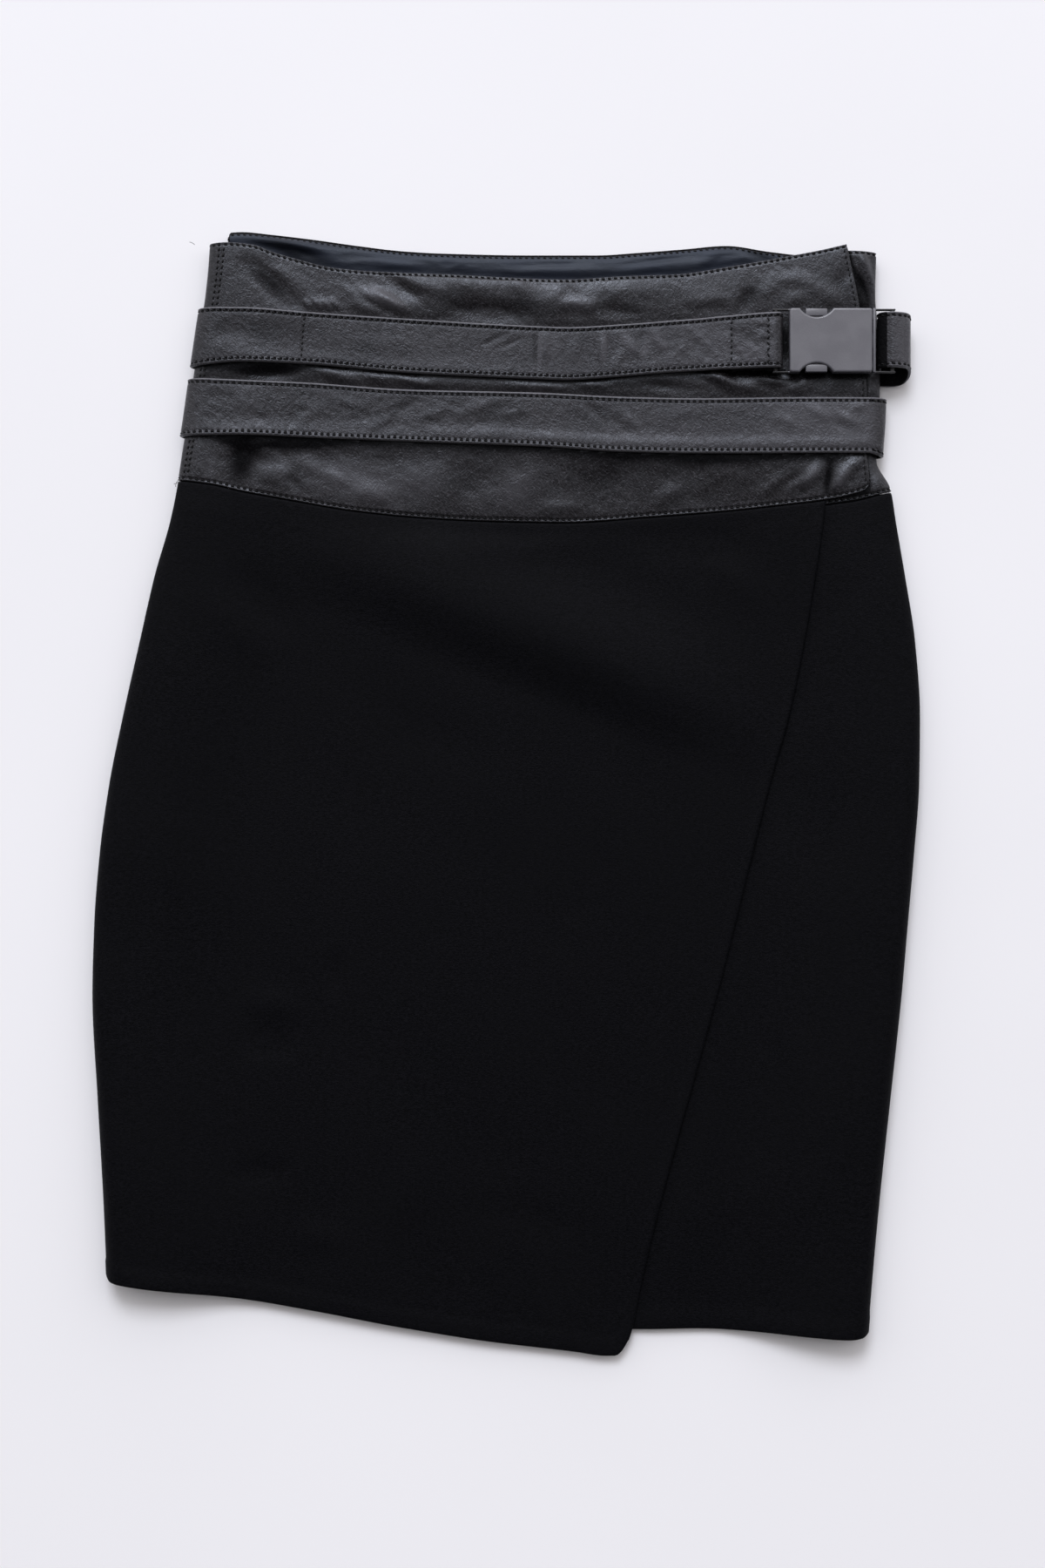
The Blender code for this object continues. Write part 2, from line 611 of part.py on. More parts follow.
def add_housing(metal):
    """Plate with a socket open to the right, two thumb notches, and ears that carry a bar."""
    centre_y = strap_middle()
    centre_z = plate_height()
    half = PLATE_THICK / 2
    housing = add_block("buckle_housing", (PLATE_LEFT, PLATE_BOTTOM, centre_z - half),
                        (PLATE_RIGHT, PLATE_TOP, centre_z + half), PLATE_BEVEL)
    housing.data.materials.append(metal)
    move_to(housing, parts)
    for side in (-1, 1):
        edge = centre_y + side * (PLATE_TOP - PLATE_BOTTOM) / 2
        near = sorted((edge, edge - side * EAR_WIDE))
        ear = add_block("ear_tool",
                        (HOUSING_BAR_X - 1.5 * BAR_RADIUS, near[0], bar_height() - EAR_HIGH / 2),
                        (PLATE_LEFT + 0.002, near[1], bar_height() + EAR_HIGH / 2))
        combine(housing, ear, "UNION")
    length = PLATE_TOP - PLATE_BOTTOM - EAR_WIDE
    bar = add_rod("bar_tool", (HOUSING_BAR_X, centre_y, bar_height()), BAR_RADIUS, length)
    combine(housing, bar, "UNION")
    socket = add_block("socket_tool",
                       (SOCKET_LEFT, centre_y - SOCKET_WIDE / 2, centre_z - SOCKET_HIGH / 2),
                       (PLATE_RIGHT + 0.002, centre_y + SOCKET_WIDE / 2, centre_z + SOCKET_HIGH / 2))
    combine(housing, socket, "DIFFERENCE")
    for side in (-1, 1):
        edge = centre_y + side * (PLATE_TOP - PLATE_BOTTOM) / 2
        notch_y = edge + side * (NOTCH_RADIUS - NOTCH_DEPTH)
        notch = add_rod("notch_tool", (NOTCH_X, notch_y, centre_z), NOTCH_RADIUS,
                        PLATE_THICK + 0.002, along_y=False, sides=40)
        combine(housing, notch, "DIFFERENCE")


def add_insert(metal):
    """Tongue and two sprung prongs in the socket, with release tabs, a frame and its own bar."""
    centre_y = strap_middle()
    centre_z = plate_height()
    inside = SOCKET_HIGH / 2 - FIT
    half_wide = (PLATE_TOP - PLATE_BOTTOM) / 2
    insert = add_block("buckle_insert", (FRAME_LEFT, centre_y - half_wide, centre_z - FRAME_HIGH / 2),
                       (FRAME_LEFT + FRAME_WIDE, centre_y + half_wide, centre_z + FRAME_HIGH / 2))
    insert.data.materials.append(metal)
    move_to(insert, parts)
    tongue = add_block("tongue_tool", (SOCKET_LEFT + 0.004, centre_y - TONGUE_WIDE / 2, centre_z - inside),
                       (FRAME_LEFT + 0.0007, centre_y + TONGUE_WIDE / 2, centre_z + inside))
    combine(insert, tongue, "UNION")
    for side in (-1, 1):
        outer = SOCKET_WIDE / 2 - FIT
        prong_y = sorted((centre_y + side * outer, centre_y + side * (outer - PRONG_WIDE)))
        prong = add_block("prong_tool", (SOCKET_LEFT + 0.001, prong_y[0], centre_z - inside),
                          (FRAME_LEFT + 0.0007, prong_y[1], centre_z + inside))
        combine(insert, prong, "UNION")
        tab_y = sorted((centre_y + side * (outer - PRONG_WIDE / 2), centre_y + side * half_wide))
        tab = add_block("tab_tool", (NOTCH_X - TAB_LONG / 2, tab_y[0], centre_z - inside),
                        (NOTCH_X + TAB_LONG / 2, tab_y[1], centre_z + inside))
        combine(insert, tab, "UNION")
        arm_y = sorted((centre_y + side * half_wide, centre_y + side * (half_wide - ARM_WIDE)))
        arm = add_block("arm_tool", (FRAME_LEFT + 0.0007, arm_y[0], bar_height() - EAR_HIGH / 2),
                        (ARM_RIGHT, arm_y[1], bar_height() + EAR_HIGH / 2))
        combine(insert, arm, "UNION")
    bar = add_rod("insert_bar_tool", (INSERT_BAR_X, centre_y, bar_height()), BAR_RADIUS,
                  2 * half_wide - ARM_WIDE)
    combine(insert, bar, "UNION")


for old in list(bpy.data.objects):
    bpy.data.objects.remove(old, do_unlink=True)

parts = bpy.data.collections.new("wrap_skirt")
cutters = bpy.data.collections.new("cutters")
bpy.context.scene.collection.children.link(parts)
bpy.context.scene.collection.children.link(cutters)

add_panels(new_material("wool", WOOL_COLOUR, WOOL_ROUGHNESS))
add_yoke(new_material("yoke_leather", LEATHER_COLOUR, LEATHER_ROUGHNESS))
add_facing(new_material("satin", SATIN_COLOUR, SATIN_ROUGHNESS))
strap_leather = new_material("strap_leather", STRAP_COLOUR, LEATHER_ROUGHNESS)
add_lower_strap(strap_leather)
add_upper_strap(strap_leather)
buckle_metal = new_material("buckle_metal", BUCKLE_COLOUR, BUCKLE_ROUGHNESS, 0.6)
add_housing(buckle_metal)
add_insert(buckle_metal)
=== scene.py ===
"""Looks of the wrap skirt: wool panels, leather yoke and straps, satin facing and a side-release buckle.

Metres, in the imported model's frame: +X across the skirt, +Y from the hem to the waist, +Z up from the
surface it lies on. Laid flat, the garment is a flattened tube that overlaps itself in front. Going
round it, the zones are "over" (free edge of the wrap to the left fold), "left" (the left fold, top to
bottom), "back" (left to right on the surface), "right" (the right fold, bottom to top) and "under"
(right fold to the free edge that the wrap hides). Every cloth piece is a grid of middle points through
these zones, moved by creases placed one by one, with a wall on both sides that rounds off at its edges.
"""

import math

import bpy
import numpy as np
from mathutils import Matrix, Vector


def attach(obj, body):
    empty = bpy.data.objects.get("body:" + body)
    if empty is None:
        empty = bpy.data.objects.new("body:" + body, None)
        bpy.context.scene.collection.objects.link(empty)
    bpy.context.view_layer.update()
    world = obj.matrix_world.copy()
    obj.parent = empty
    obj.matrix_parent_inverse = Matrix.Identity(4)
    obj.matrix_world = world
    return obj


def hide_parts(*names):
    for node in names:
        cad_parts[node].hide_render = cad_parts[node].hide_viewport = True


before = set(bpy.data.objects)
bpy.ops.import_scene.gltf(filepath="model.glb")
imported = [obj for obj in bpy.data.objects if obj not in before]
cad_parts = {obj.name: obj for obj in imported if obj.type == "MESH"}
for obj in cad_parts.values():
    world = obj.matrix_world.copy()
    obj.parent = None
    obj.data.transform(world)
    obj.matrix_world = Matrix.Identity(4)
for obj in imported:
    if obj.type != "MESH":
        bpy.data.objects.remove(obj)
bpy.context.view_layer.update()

# Thickness of each material, and the clearances between pieces
WOOL = 0.0014
LEATHER = 0.0012
SATIN = 0.0010
STRAP = 0.0022
SEAM_GAP = 0.0005
LAYER_GAP = 0.0005

# Side folds: how far a fold reaches in from the outline, and how far its top takes to fall
FOLD_REACH = 0.009
FOLD_FALL = 0.080

# Straps lie on the yoke: middle of a strap above the middle of the yoke's wall
STRAP_OUT = LEATHER / 2 + LAYER_GAP + STRAP / 2

# Outline of the body of the skirt, and the height of its folds, from hem to waist
SIDES = ("y left right left_top right_top", [
    (-0.318, -0.2234, 0.2009, 0.016, 0.015),
    (-0.274, -0.2246, 0.2043, 0.016, 0.015),
    (-0.23, -0.2264, 0.2083, 0.016, 0.015),
    (-0.171, -0.2298, 0.2146, 0.0155, 0.015),
    (-0.112, -0.2328, 0.221, 0.015, 0.0145),
    (-0.073, -0.2318, 0.2244, 0.0145, 0.0145),
    (-0.034, -0.2288, 0.2279, 0.0145, 0.014),
    (0.0055, -0.2234, 0.2308, 0.014, 0.014),
    (0.0445, -0.2156, 0.2313, 0.0135, 0.0135),
    (0.084, -0.2068, 0.2288, 0.013, 0.0125),
    (0.123, -0.198, 0.223, 0.012, 0.0115),
    (0.1525, -0.1896, 0.2181, 0.0115, 0.0105),
    (0.171, -0.1857, 0.2151, 0.0115, 0.01),
    (0.187, -0.1832, 0.2072, 0.0115, 0.0095),
    (0.21, -0.1796, 0.2086, 0.011, 0.0095),
    (0.2355, -0.176, 0.2092, 0.011, 0.0095),
    (0.26, -0.1725, 0.2082, 0.011, 0.0095),
    (0.28, -0.1695, 0.2065, 0.011, 0.0095),
    (0.2995, -0.1676, 0.207, 0.011, 0.0095),
    (0.32, -0.1665, 0.2075, 0.0105, 0.009),
])

# Height of the middle of each layer's wall away from the folds. The yoke rests on the back straps.
LAYERS = ("y back under over", [
    (-0.32, 0.0007, 0.0029, 0.0049),
    (0.145, 0.0007, 0.0031, 0.0052),
    (0.162, 0.0012, 0.0044, 0.0063),
    (0.188, 0.0033, 0.0065, 0.0083),
    (0.272, 0.0033, 0.0065, 0.0083),
    (0.32, 0.0019, 0.0051, 0.0069),
])

# Free edges of the wrap: x of the yoke's end, of the wool's slanted edge, and of the hidden edge
WRAP_EDGES = ("y yoke_end wool_edge hidden_edge", [
    (-0.318, 0.2029, 0.0645, -0.0113),
    (-0.302, 0.2029, 0.0701, -0.015),
    (-0.2734, 0.2029, 0.076, -0.0225),
    (-0.246, 0.2029, 0.0823, -0.029),
    (-0.112, 0.2029, 0.1186, -0.064),
    (0.0054, 0.2029, 0.148, -0.094),
    (0.0466, 0.2029, 0.1593, -0.104),
    (0.103, 0.2029, 0.17, -0.119),
    (0.162, 0.2029, 0.1782, -0.135),
    (0.1725, 0.2029, 0.179, -0.138),
    (0.1882, 0.2016, 0.179, -0.14),
    (0.2357, 0.2012, 0.179, -0.14),
    (0.255, 0.1994, 0.179, -0.14),
    (0.2745, 0.197, 0.179, -0.14),
    (0.291, 0.1938, 0.179, -0.14),
    (0.308, 0.1901, 0.179, -0.14),
])

# Edges that run across the skirt, as y at each x
OVER_WAIST = ("x y", [
    (-0.167, 0.3089), (-0.157, 0.3092), (-0.1435, 0.308), (-0.132, 0.304), (-0.118, 0.3),
    (-0.098, 0.2955), (-0.075, 0.2935), (-0.036, 0.292), (0.033, 0.289), (0.065, 0.2908),
    (0.0965, 0.292), (0.1245, 0.2962), (0.153, 0.3009), (0.1755, 0.3048), (0.19, 0.308),
])
UNDER_WAIST = ("x y", [
    (-0.139, 0.299), (0.008, 0.284), (0.106, 0.288), (0.17, 0.302), (0.192, 0.3048),
    (0.208, 0.304),
])
BACK_WAIST = ("x y", [
    (-0.167, 0.3087), (-0.1582, 0.309), (-0.1575, 0.3152), (-0.1562, 0.3168), (-0.15, 0.3171),
    (-0.134, 0.3156), (-0.109, 0.3126), (-0.085, 0.3092), (-0.06, 0.3062), (-0.036, 0.3048),
    (0.013, 0.3038), (0.05, 0.3038), (0.0745, 0.3053), (0.099, 0.3072), (0.1235, 0.3092),
    (0.148, 0.3058), (0.168, 0.3038), (0.208, 0.3038),
])
OVER_SEAM = ("x y", [
    (-0.19, 0.1762), (-0.165, 0.173), (-0.1495, 0.1695), (-0.1245, 0.1651), (-0.087, 0.1588),
    (-0.056, 0.1556), (-0.017, 0.1534), (0.033, 0.1524), (0.078, 0.1553), (0.123, 0.1588),
    (0.153, 0.1619), (0.1775, 0.1645), (0.199, 0.1692), (0.2015, 0.1712), (0.203, 0.1745),
])
UNDER_SEAM = ("x y", [
    (-0.139, 0.1632), (0.008, 0.1529), (0.106, 0.1563), (0.1915, 0.1637), (0.2156, 0.1695),
])
BACK_SEAM = ("x y", [
    (-0.19, 0.1762), (-0.124, 0.1691), (0.008, 0.1637), (0.155, 0.1661), (0.2156, 0.1695),
])
OVER_HEM = ("x y", [
    (-0.2245, -0.2705), (-0.2222, -0.2734), (-0.2185, -0.2744), (-0.195, -0.2783),
    (-0.158, -0.2832), (-0.109, -0.2915), (-0.06, -0.3009), (-0.011, -0.3087), (0.038, -0.3146),
    (0.055, -0.3168), (0.0605, -0.3168), (0.064, -0.3145), (0.068, -0.308),
])
UNDER_HEM = ("x y", [
    (-0.012, -0.2985), (0.0745, -0.3023), (0.106, -0.3018), (0.136, -0.3028), (0.1725, -0.3048),
    (0.19, -0.3056), (0.198, -0.305), (0.203, -0.3022),
])
BACK_HEM = ("x y", [
    (-0.2245, -0.2705), (-0.2222, -0.2734), (-0.1, -0.281), (0.08, -0.295), (0.198, -0.3044),
    (0.203, -0.3022),
])

# The straps' edges over the front, and straight across the back
UPPER_TOP = ("x y", [
    (-0.174, 0.2724), (-0.1495, 0.2724), (-0.115, 0.2702), (-0.056, 0.2663), (0.018, 0.2621),
    (0.033, 0.2616), (0.063, 0.2631), (0.108, 0.2665), (0.143, 0.2684), (0.158, 0.2688),
])
UPPER_BOTTOM = ("x y", [
    (-0.177, 0.2392), (-0.1495, 0.2415), (-0.115, 0.2406), (-0.056, 0.2357), (0.018, 0.2322),
    (0.033, 0.2317), (0.055, 0.233), (0.093, 0.2361), (0.123, 0.2374), (0.158, 0.2375),
])
LOWER_TOP = ("x y", [
    (-0.179, 0.2329), (-0.1495, 0.2317), (-0.115, 0.2305), (-0.056, 0.2266), (0.018, 0.2248),
    (0.063, 0.2226), (0.108, 0.2217), (0.153, 0.2221), (0.212, 0.2217),
])
LOWER_BOTTOM = ("x y", [
    (-0.183, 0.2002), (-0.1495, 0.2005), (-0.115, 0.1994), (-0.056, 0.1971), (0.018, 0.1943),
    (0.063, 0.1914), (0.108, 0.1905), (0.202, 0.1905), (0.212, 0.1884),
])
UPPER_BACK_TOP = ("x y", [(-0.177, 0.2724), (0.230, 0.2640)])
UPPER_BACK_BOTTOM = ("x y", [(-0.180, 0.2392), (0.230, 0.2296)])
LOWER_BACK_TOP = ("x y", [(-0.183, 0.2329), (0.212, 0.2217)])
LOWER_BACK_BOTTOM = ("x y", [(-0.187, 0.2002), (0.212, 0.1884)])
FRONT_STRAPS = (UPPER_TOP, UPPER_BOTTOM, LOWER_TOP, LOWER_BOTTOM)
BACK_STRAPS = (UPPER_BACK_TOP, UPPER_BACK_BOTTOM, LOWER_BACK_TOP, LOWER_BACK_BOTTOM)

# Side seam of the yoke, turned onto the front: its distance in from the fold's outline
SIDE_SEAM_IN = ("y inset", [(0.150, 0.0035), (0.235, 0.0048), (0.310, 0.0066)])

# The broad soft ridge that runs down across the over panel from the left below the yoke
RIDGE = ("x y height", [
    (-0.15, 0.15, 0.0), (-0.102, 0.1377, 0.003), (-0.028, 0.1083, 0.0058),
    (0.03, 0.0862, 0.0065), (0.082, 0.0642, 0.0048), (0.119, 0.0495, 0.0022), (0.15, 0.04, 0.0),
])
RIDGE_ABOVE = 0.052
RIDGE_BELOW = 0.040

# Satin facing: set in from the back waist and the folds
FACING_INSET = 0.0015
FACING_DEPTH = 0.055
FACING_LEFT = -0.1568
FACING_RIGHT = 0.194

# Buckle: housing plate, its bar for the strap, and the insert with its frame
PLATE_LEFT = 0.1573
PLATE_RIGHT = 0.2034
PLATE_BOTTOM = 0.2349
PLATE_TOP = 0.2707
PLATE_THICK = 0.0068
SOCKET_LEFT = 0.1630
SOCKET_WIDE = 0.0310
SOCKET_HIGH = 0.0036
NOTCH_X = 0.1723
NOTCH_RADIUS = 0.0113
NOTCH_DEPTH = 0.0050
BAR_RADIUS = 0.0012
EAR_WIDE = 0.0010
EAR_HIGH = 0.0026
TONGUE_WIDE = 0.0080
PRONG_WIDE = 0.0034
TAB_LONG = 0.0120
FRAME_LEFT = 0.2038
FRAME_WIDE = 0.0015
FRAME_HIGH = 0.0052
ARM_RIGHT = 0.2167
ARM_WIDE = 0.0010
FIT = 0.0003

# Where the upper strap loops round the two bars, and the end of its turn-back
LOOP_RADIUS = BAR_RADIUS + LAYER_GAP + STRAP / 2
HOUSING_BAR_X = PLATE_LEFT - 0.0035 - BAR_RADIUS - LAYER_GAP - STRAP
TURN_BACK_END = 0.1255
LIFT_START = 0.1055
LIFT_END = TURN_BACK_END - 0.003
RISE_START = TURN_BACK_END - 0.006
INSERT_BAR_X = 0.2150
LOOP_OUTER = 0.2262
LOOP_WIDE = 0.0105
LOOP_TOP_SLANT = 0.0046
LOOP_BOTTOM_SLANT = 0.0078
WRAP_LONG = 0.0070
WRAP_HIGH = 0.0055
WRAP_END = 200
INSERT_TURN = 150
BAR_DROP = 0.0006
STRAP_TURN_OUT = 0.0020
STRAP_SLACK = 0.0007

# Where the upper strap's back run leaves the yoke for its loop, as a share of the back
BACK_TAIL_START = 0.98
STRAP_END_ZONES = ("turn_back", "bar_loop", "ramp", "tail", "insert_turn", "insert_bar")
EDGE_OF_ZONE = {"right": "under", "under": "under", "back": "back", "tail": "back",
                "insert_turn": "back", "insert_bar": "back"}

# In this file the yoke's side seam is closed up, its rounded edges sunk into each other. The left
# fold's mean radius there turns the gap into a share of the fold.
SIDE_SEAM_GAP = -0.0005
SIDE_SEAM_RADIUS = 0.006

# Columns of the back yoke's grid beside the left fold, where its relief starts: distances from it
BACK_CORNER = (0.0, 0.0004, 0.0008, 0.0014, 0.0024)

# Side folds, as this file's finer grids see them: their mean radius, and where creases fade out
FOLD_RADIUS = 0.0075
FOLD_FADE = 0.45

# Rounding at the edges of each material, and rows of stitches
WOOL_ROLL = 0.0016
LEATHER_ROLL = 0.0009
STRAP_ROLL = 0.0012
SATIN_ROLL = 0.0006
STITCH_INSET = 0.0021
GROOVE_WIDE = 0.0011
STITCH_PITCH = 0.0034
STITCH_LONG = 0.0021
THREAD_RADIUS = 0.00044
STITCH_START = 0.0010
STITCH_SLANT = 0.00028
WAIST_INSET = 0.0013
SEAM_INSET = 0.0016
SIDE_THREAD = 0.00055
# Length of the upper strap's end, round the insert's bar, that the leather's look paints black as shade
PAINTED_SHADE_END = 0.0085

# How far each cloth puffs up where nothing holds it down, the lips and grooves along rows of
# stitches, and the turned hems
BACK_YOKE_ARCH = 0.022
LIP_HIGH = 0.00028
LIP_PLACE = 0.40
LIP_WIDE = 0.00065
LIP_START = 0.0003
SATIN_PUFF = 0.0010
WOOL_PUFF = 0.0004
BUCKLE_OVERHANG = 0.0026
HEM_TURNING = 0.0105
EDGE_TURNING = 0.0060
TURNING_THICK = 0.00035
GROOVE_DEEP = 0.00055

# Finer form of the buckle
PLATE_CORNER = 0.0016
ROD_SIDES = 24
PLATE_RIM = 0.0011
EAR_ROUNDING = 0.00045
FRAME_ROUNDING = 0.0004
TAB_ROUNDING = 0.0005
TAB_HIGH = 0.0026
TAB_IN = 0.0002
EAR_PAST_BAR = 1.5 * BAR_RADIUS
SUNK = 0.002
IN_FRAME = FRAME_LEFT + 0.0007
TONGUE_LEFT = SOCKET_LEFT + 0.004
PRONG_LEFT = SOCKET_LEFT + 0.001

# Colours
WOOL_DARK = (0.0007, 0.0008, 0.0013, 1)
WOOL_LIGHT = (0.0042, 0.0042, 0.0057, 1)
WOOL_CLOUD = (0.0032, 0.0032, 0.0040, 1)
WOOL_FIBRE = (0.0200, 0.0195, 0.0200, 1)
WOOL_SPECULAR = 0.05
WOOL_SHEEN = 0.01
YOKE_DARK = (0.0056, 0.0045, 0.0049, 1)
YOKE_LIGHT = (0.0100, 0.0083, 0.0090, 1)
YOKE_WORN = (0.0155, 0.0135, 0.0145, 1)
STRAP_DARK = (0.0092, 0.0080, 0.0087, 1)
STRAP_LIGHT = (0.0192, 0.0173, 0.0187, 1)
STRAP_WORN = (0.0330, 0.0305, 0.0330, 1)
SATIN_DARK = (0.0030, 0.0045, 0.0100, 1)
SATIN_LIGHT = (0.0065, 0.0090, 0.0180, 1)
BUCKLE_GREY = (0.092, 0.091, 0.106, 1)
BUCKLE_WORN = (0.118, 0.117, 0.132, 1)
THREAD_BLACK = (0.0020, 0.0020, 0.0024, 1)
THREAD_LIGHT = (0.0044, 0.0044, 0.0052, 1)
# Near black: painted shade in the darker tones, the stitch holes, the strap's shaded end and the buckle's
# bars; also the leather's dark streaks and its dark inner side
SHADE_AND_STREAK_BLACK = (0.0012, 0.0012, 0.0015, 1)
# Colour of the leather's lighter tones, a painted highlight, and of its light streaks
TONE_LIGHT = (0.068, 0.066, 0.074, 1)
# Painted highlight of the satin's lighter tones
SATIN_HIGHLIGHT = (0.016, 0.020, 0.034, 1)
# The leather's cut edges are lighter by wear and by a painted highlight: their colour and its largest share
EDGE_WEAR_AND_HIGHLIGHT_COLOUR = (0.175, 0.172, 0.188, 1)
EDGE_WEAR_AND_HIGHLIGHT_SHARE = 0.85
# Painted highlight on the puckers between stitches, as a share of the edges' colour
PUCKER_HIGHLIGHT_SHARE = 0.20
FLOOR_COLOUR = (0.890, 0.885, 0.900, 1)
FLOOR_SHADE = (0.875, 0.870, 0.885, 1)

# Details of the sewing
FACING_ROW_LEFT = FACING_LEFT - 0.008
FACING_ROW_RIGHT = 0.1985
FACING_START = (FACING_LEFT - 0.002, FACING_LEFT + 0.001)
FACING_END = (FACING_RIGHT - 0.001, FACING_RIGHT + 0.002)
SIDE_STITCH = 0.0014
END_STITCH_START = 0.0006
GROOVE_SEAT = 0.6
STRAP_JOIN = (-0.1132, -0.1160, 0.271, 0.240)
ZIGZAG_X = 0.1455
ZIGZAG_WIDE = 0.0008
LOOSE_ENDS = ("x y angle bend count z", [
    (-0.1838, 0.1765, 205, 16, 5, 0.0085),
    (-0.184, 0.176, 228, -12, 4, 0.008),
    (-0.176, 0.3085, 140, 14, 3, 0.008),
    (0.175, 0.1655, 190, -18, 4, 0.011),
])
LOOSE_STEP = 0.0012
LOOSE_RISE = 0.30
LOOSE_RADIUS = 0.00014

# Room, window and camera
FLOOR_SIZE = 6.0
FLOOR_Z = -0.0002
ROOM_COLOUR = (0.99, 0.965, 0.985, 1)
ROOM_BRIGHT = 1.52
ROOM_DIM = 0.10
ROOM_FADE = (-0.30, 0.65)
WINDOW_PLACE = (-0.60, 4.60, 4.60)
WINDOW_SIZE = (2.9, 2.3)
WINDOW_POWER = 235.0
WINDOW_COLOUR = (0.88, 0.915, 1.0)
CAMERA_PLACE = (0.00833, 0.00539, 1.232)


def smooth_slopes(x, y):
    """Slopes at the rows that keep the curve between them free of overshoot."""
    step = np.diff(x)
    rise = np.diff(y) / step
    slope = np.zeros_like(y)
    same = rise[:-1] * rise[1:] > 0
    total = np.where(same, rise[:-1] + rise[1:], 1.0)
    slope[1:-1] = np.where(same, 2 * rise[:-1] * rise[1:] / total, 0.0)
    slope[0] = rise[0]
    slope[-1] = rise[-1]
    return slope


def read(table, name, where):
    """Value of a named column at each place in `where`, smooth between the table's rows."""
    names = table[0].split()
    rows = np.array(table[1], float)
    x = rows[:, 0]
    y = rows[:, names.index(name)]
    slope = smooth_slopes(x, y)
    place = np.clip(where, x[0], x[-1])
    i = np.clip(np.searchsorted(x, place, side="right") - 1, 0, len(x) - 2)
    span = x[i + 1] - x[i]
    t = (place - x[i]) / span
    start = (1 + 2 * t) * (1 - t) ** 2 * y[i] + t * (1 - t) ** 2 * span * slope[i]
    end = t * t * (3 - 2 * t) * y[i + 1] + t * t * (t - 1) * span * slope[i + 1]
    return start + end


def ease(value, start, end):
    """0 before start, 1 after end, smooth between."""
    t = np.clip((value - start) / (end - start), 0, 1)
    return t * t * (3 - 2 * t)


def fall(distance):
    """1 at the fold's top, easing to 0 at FOLD_FALL from it."""
    return 0.5 + 0.5 * np.cos(np.pi * np.clip(distance / FOLD_FALL, 0, 1))


def fold_left(y):
    """x where the left fold's curve meets the flat layers."""
    return read(SIDES, "left", y) + FOLD_REACH


def fold_right(y):
    """x where the right fold's curve meets the flat layers."""
    return read(SIDES, "right", y) - FOLD_REACH


def ridge_height(x, y):
    """Height of the broad ridge: a squared cosine across its crest, wider above than below."""
    below = read(RIDGE, "y", x) - y
    reach = np.where(below < 0, RIDGE_ABOVE, RIDGE_BELOW)
    across = np.cos(0.5 * np.pi * np.clip(below / reach, -1, 1)) ** 2
    return read(RIDGE, "height", x) * across


def under_height(x, y):
    """Middle of the under layer's wall: flat, rising to the right fold."""
    base = read(LAYERS, "under", y)
    return base + (read(SIDES, "right_top", y) - base) * fall(fold_right(y) - x)


def over_height(x, y):
    """Middle of the over layer's wall: above the under layer, rising to the left fold too."""
    base = read(LAYERS, "over", y)
    above_under = base - read(LAYERS, "under", y)
    left = (read(SIDES, "left_top", y) - base) * fall(x - fold_left(y))
    return under_height(x, y) + above_under + left + ridge_height(x, y)


def fold_points(outline_x, inward, angle, y, top, out):
    """x and z round a side fold, an ellipse from angle -90 at the bottom to +90 degrees at the top."""
    bottom = read(LAYERS, "back", y)
    centre = (top + bottom) / 2
    rise = (top - bottom) / 2 + out
    x = outline_x + inward * (FOLD_REACH - (FOLD_REACH + out) * np.cos(angle))
    return x, centre + rise * np.sin(angle)


def wool_edge(y):
    """x of the over panel's free, slanted edge."""
    return read(WRAP_EDGES, "wool_edge", y)


def yoke_end(y):
    """x of the over yoke's free end."""
    return read(WRAP_EDGES, "yoke_end", y)


def strap_turn(y):
    """x where the lower strap leaves the over yoke and turns down round the right fold."""
    return fold_right(y) + STRAP_TURN_OUT


def zone_points(zone, part, y, out, inner_edge):
    """x and z of the wall's middle at a share `part` of the way through a zone."""
    if zone == "over":
        start = inner_edge(y)
        x = start + (fold_left(y) - start) * part
        return x, over_height(x, y) + out
    if zone == "left":
        angle = np.pi * (0.5 - part)
        top = over_height(fold_left(y), y)
        return fold_points(read(SIDES, "left", y), 1, angle, y, top, out)
    if zone == "back":
        x = fold_left(y) + (fold_right(y) - fold_left(y)) * part
        return x, read(LAYERS, "back", y) - out
    if zone == "right":
        angle = np.pi * (part - 0.5)
        return fold_points(read(SIDES, "right", y), -1, angle, y, read(SIDES, "right_top", y), out)
    if zone in STRAP_END_ZONES:
        return strap_end_points(zone, part, y)
    if zone == "strap_right":
        angle = np.pi * (part - 0.5)
        top = over_height(strap_turn(y), y) + out
        bottom = read(LAYERS, "back", y) - out
        x = strap_turn(y) + (FOLD_REACH + STRAP_SLACK + out - STRAP_TURN_OUT) * np.cos(angle)
        return x, (top + bottom) / 2 + (top - bottom) / 2 * np.sin(angle)
    x = fold_right(y) + (read(WRAP_EDGES, "hidden_edge", y) - fold_right(y)) * part
    return x, under_height(x, y) + out


def edge_y(edges, zone, x, z, part):
    """y of an edge: the zone's own curve, or between the two curves that a fold joins."""
    front = EDGE_OF_ZONE.get(zone, "front")
    y_front = read(edges[front], "y", x)
    if zone in ("tail", "insert_turn", "insert_bar"):
        return y_front + edges["slant"] * ease(z, STRAP / 2, bar_height())
    if zone not in ("left", "right", "strap_right"):
        return y_front
    bottom_share = part if zone == "left" else 1 - part
    turn = 0.5 - 0.5 * np.cos(np.pi * bottom_share)
    return y_front + (read(edges["back"], "y", x) - y_front) * turn


def half_gap_share(y):
    """Half the gap of a side seam, as a share of the way round a fold at its outermost point."""
    rise = (read(SIDES, "right_top", y) - read(LAYERS, "back", y)) / 2
    return SEAM_GAP / (np.pi * rise)


def seam_before(y):
    """Share round a fold where the piece before the side seam ends."""
    return 0.5 - half_gap_share(y)


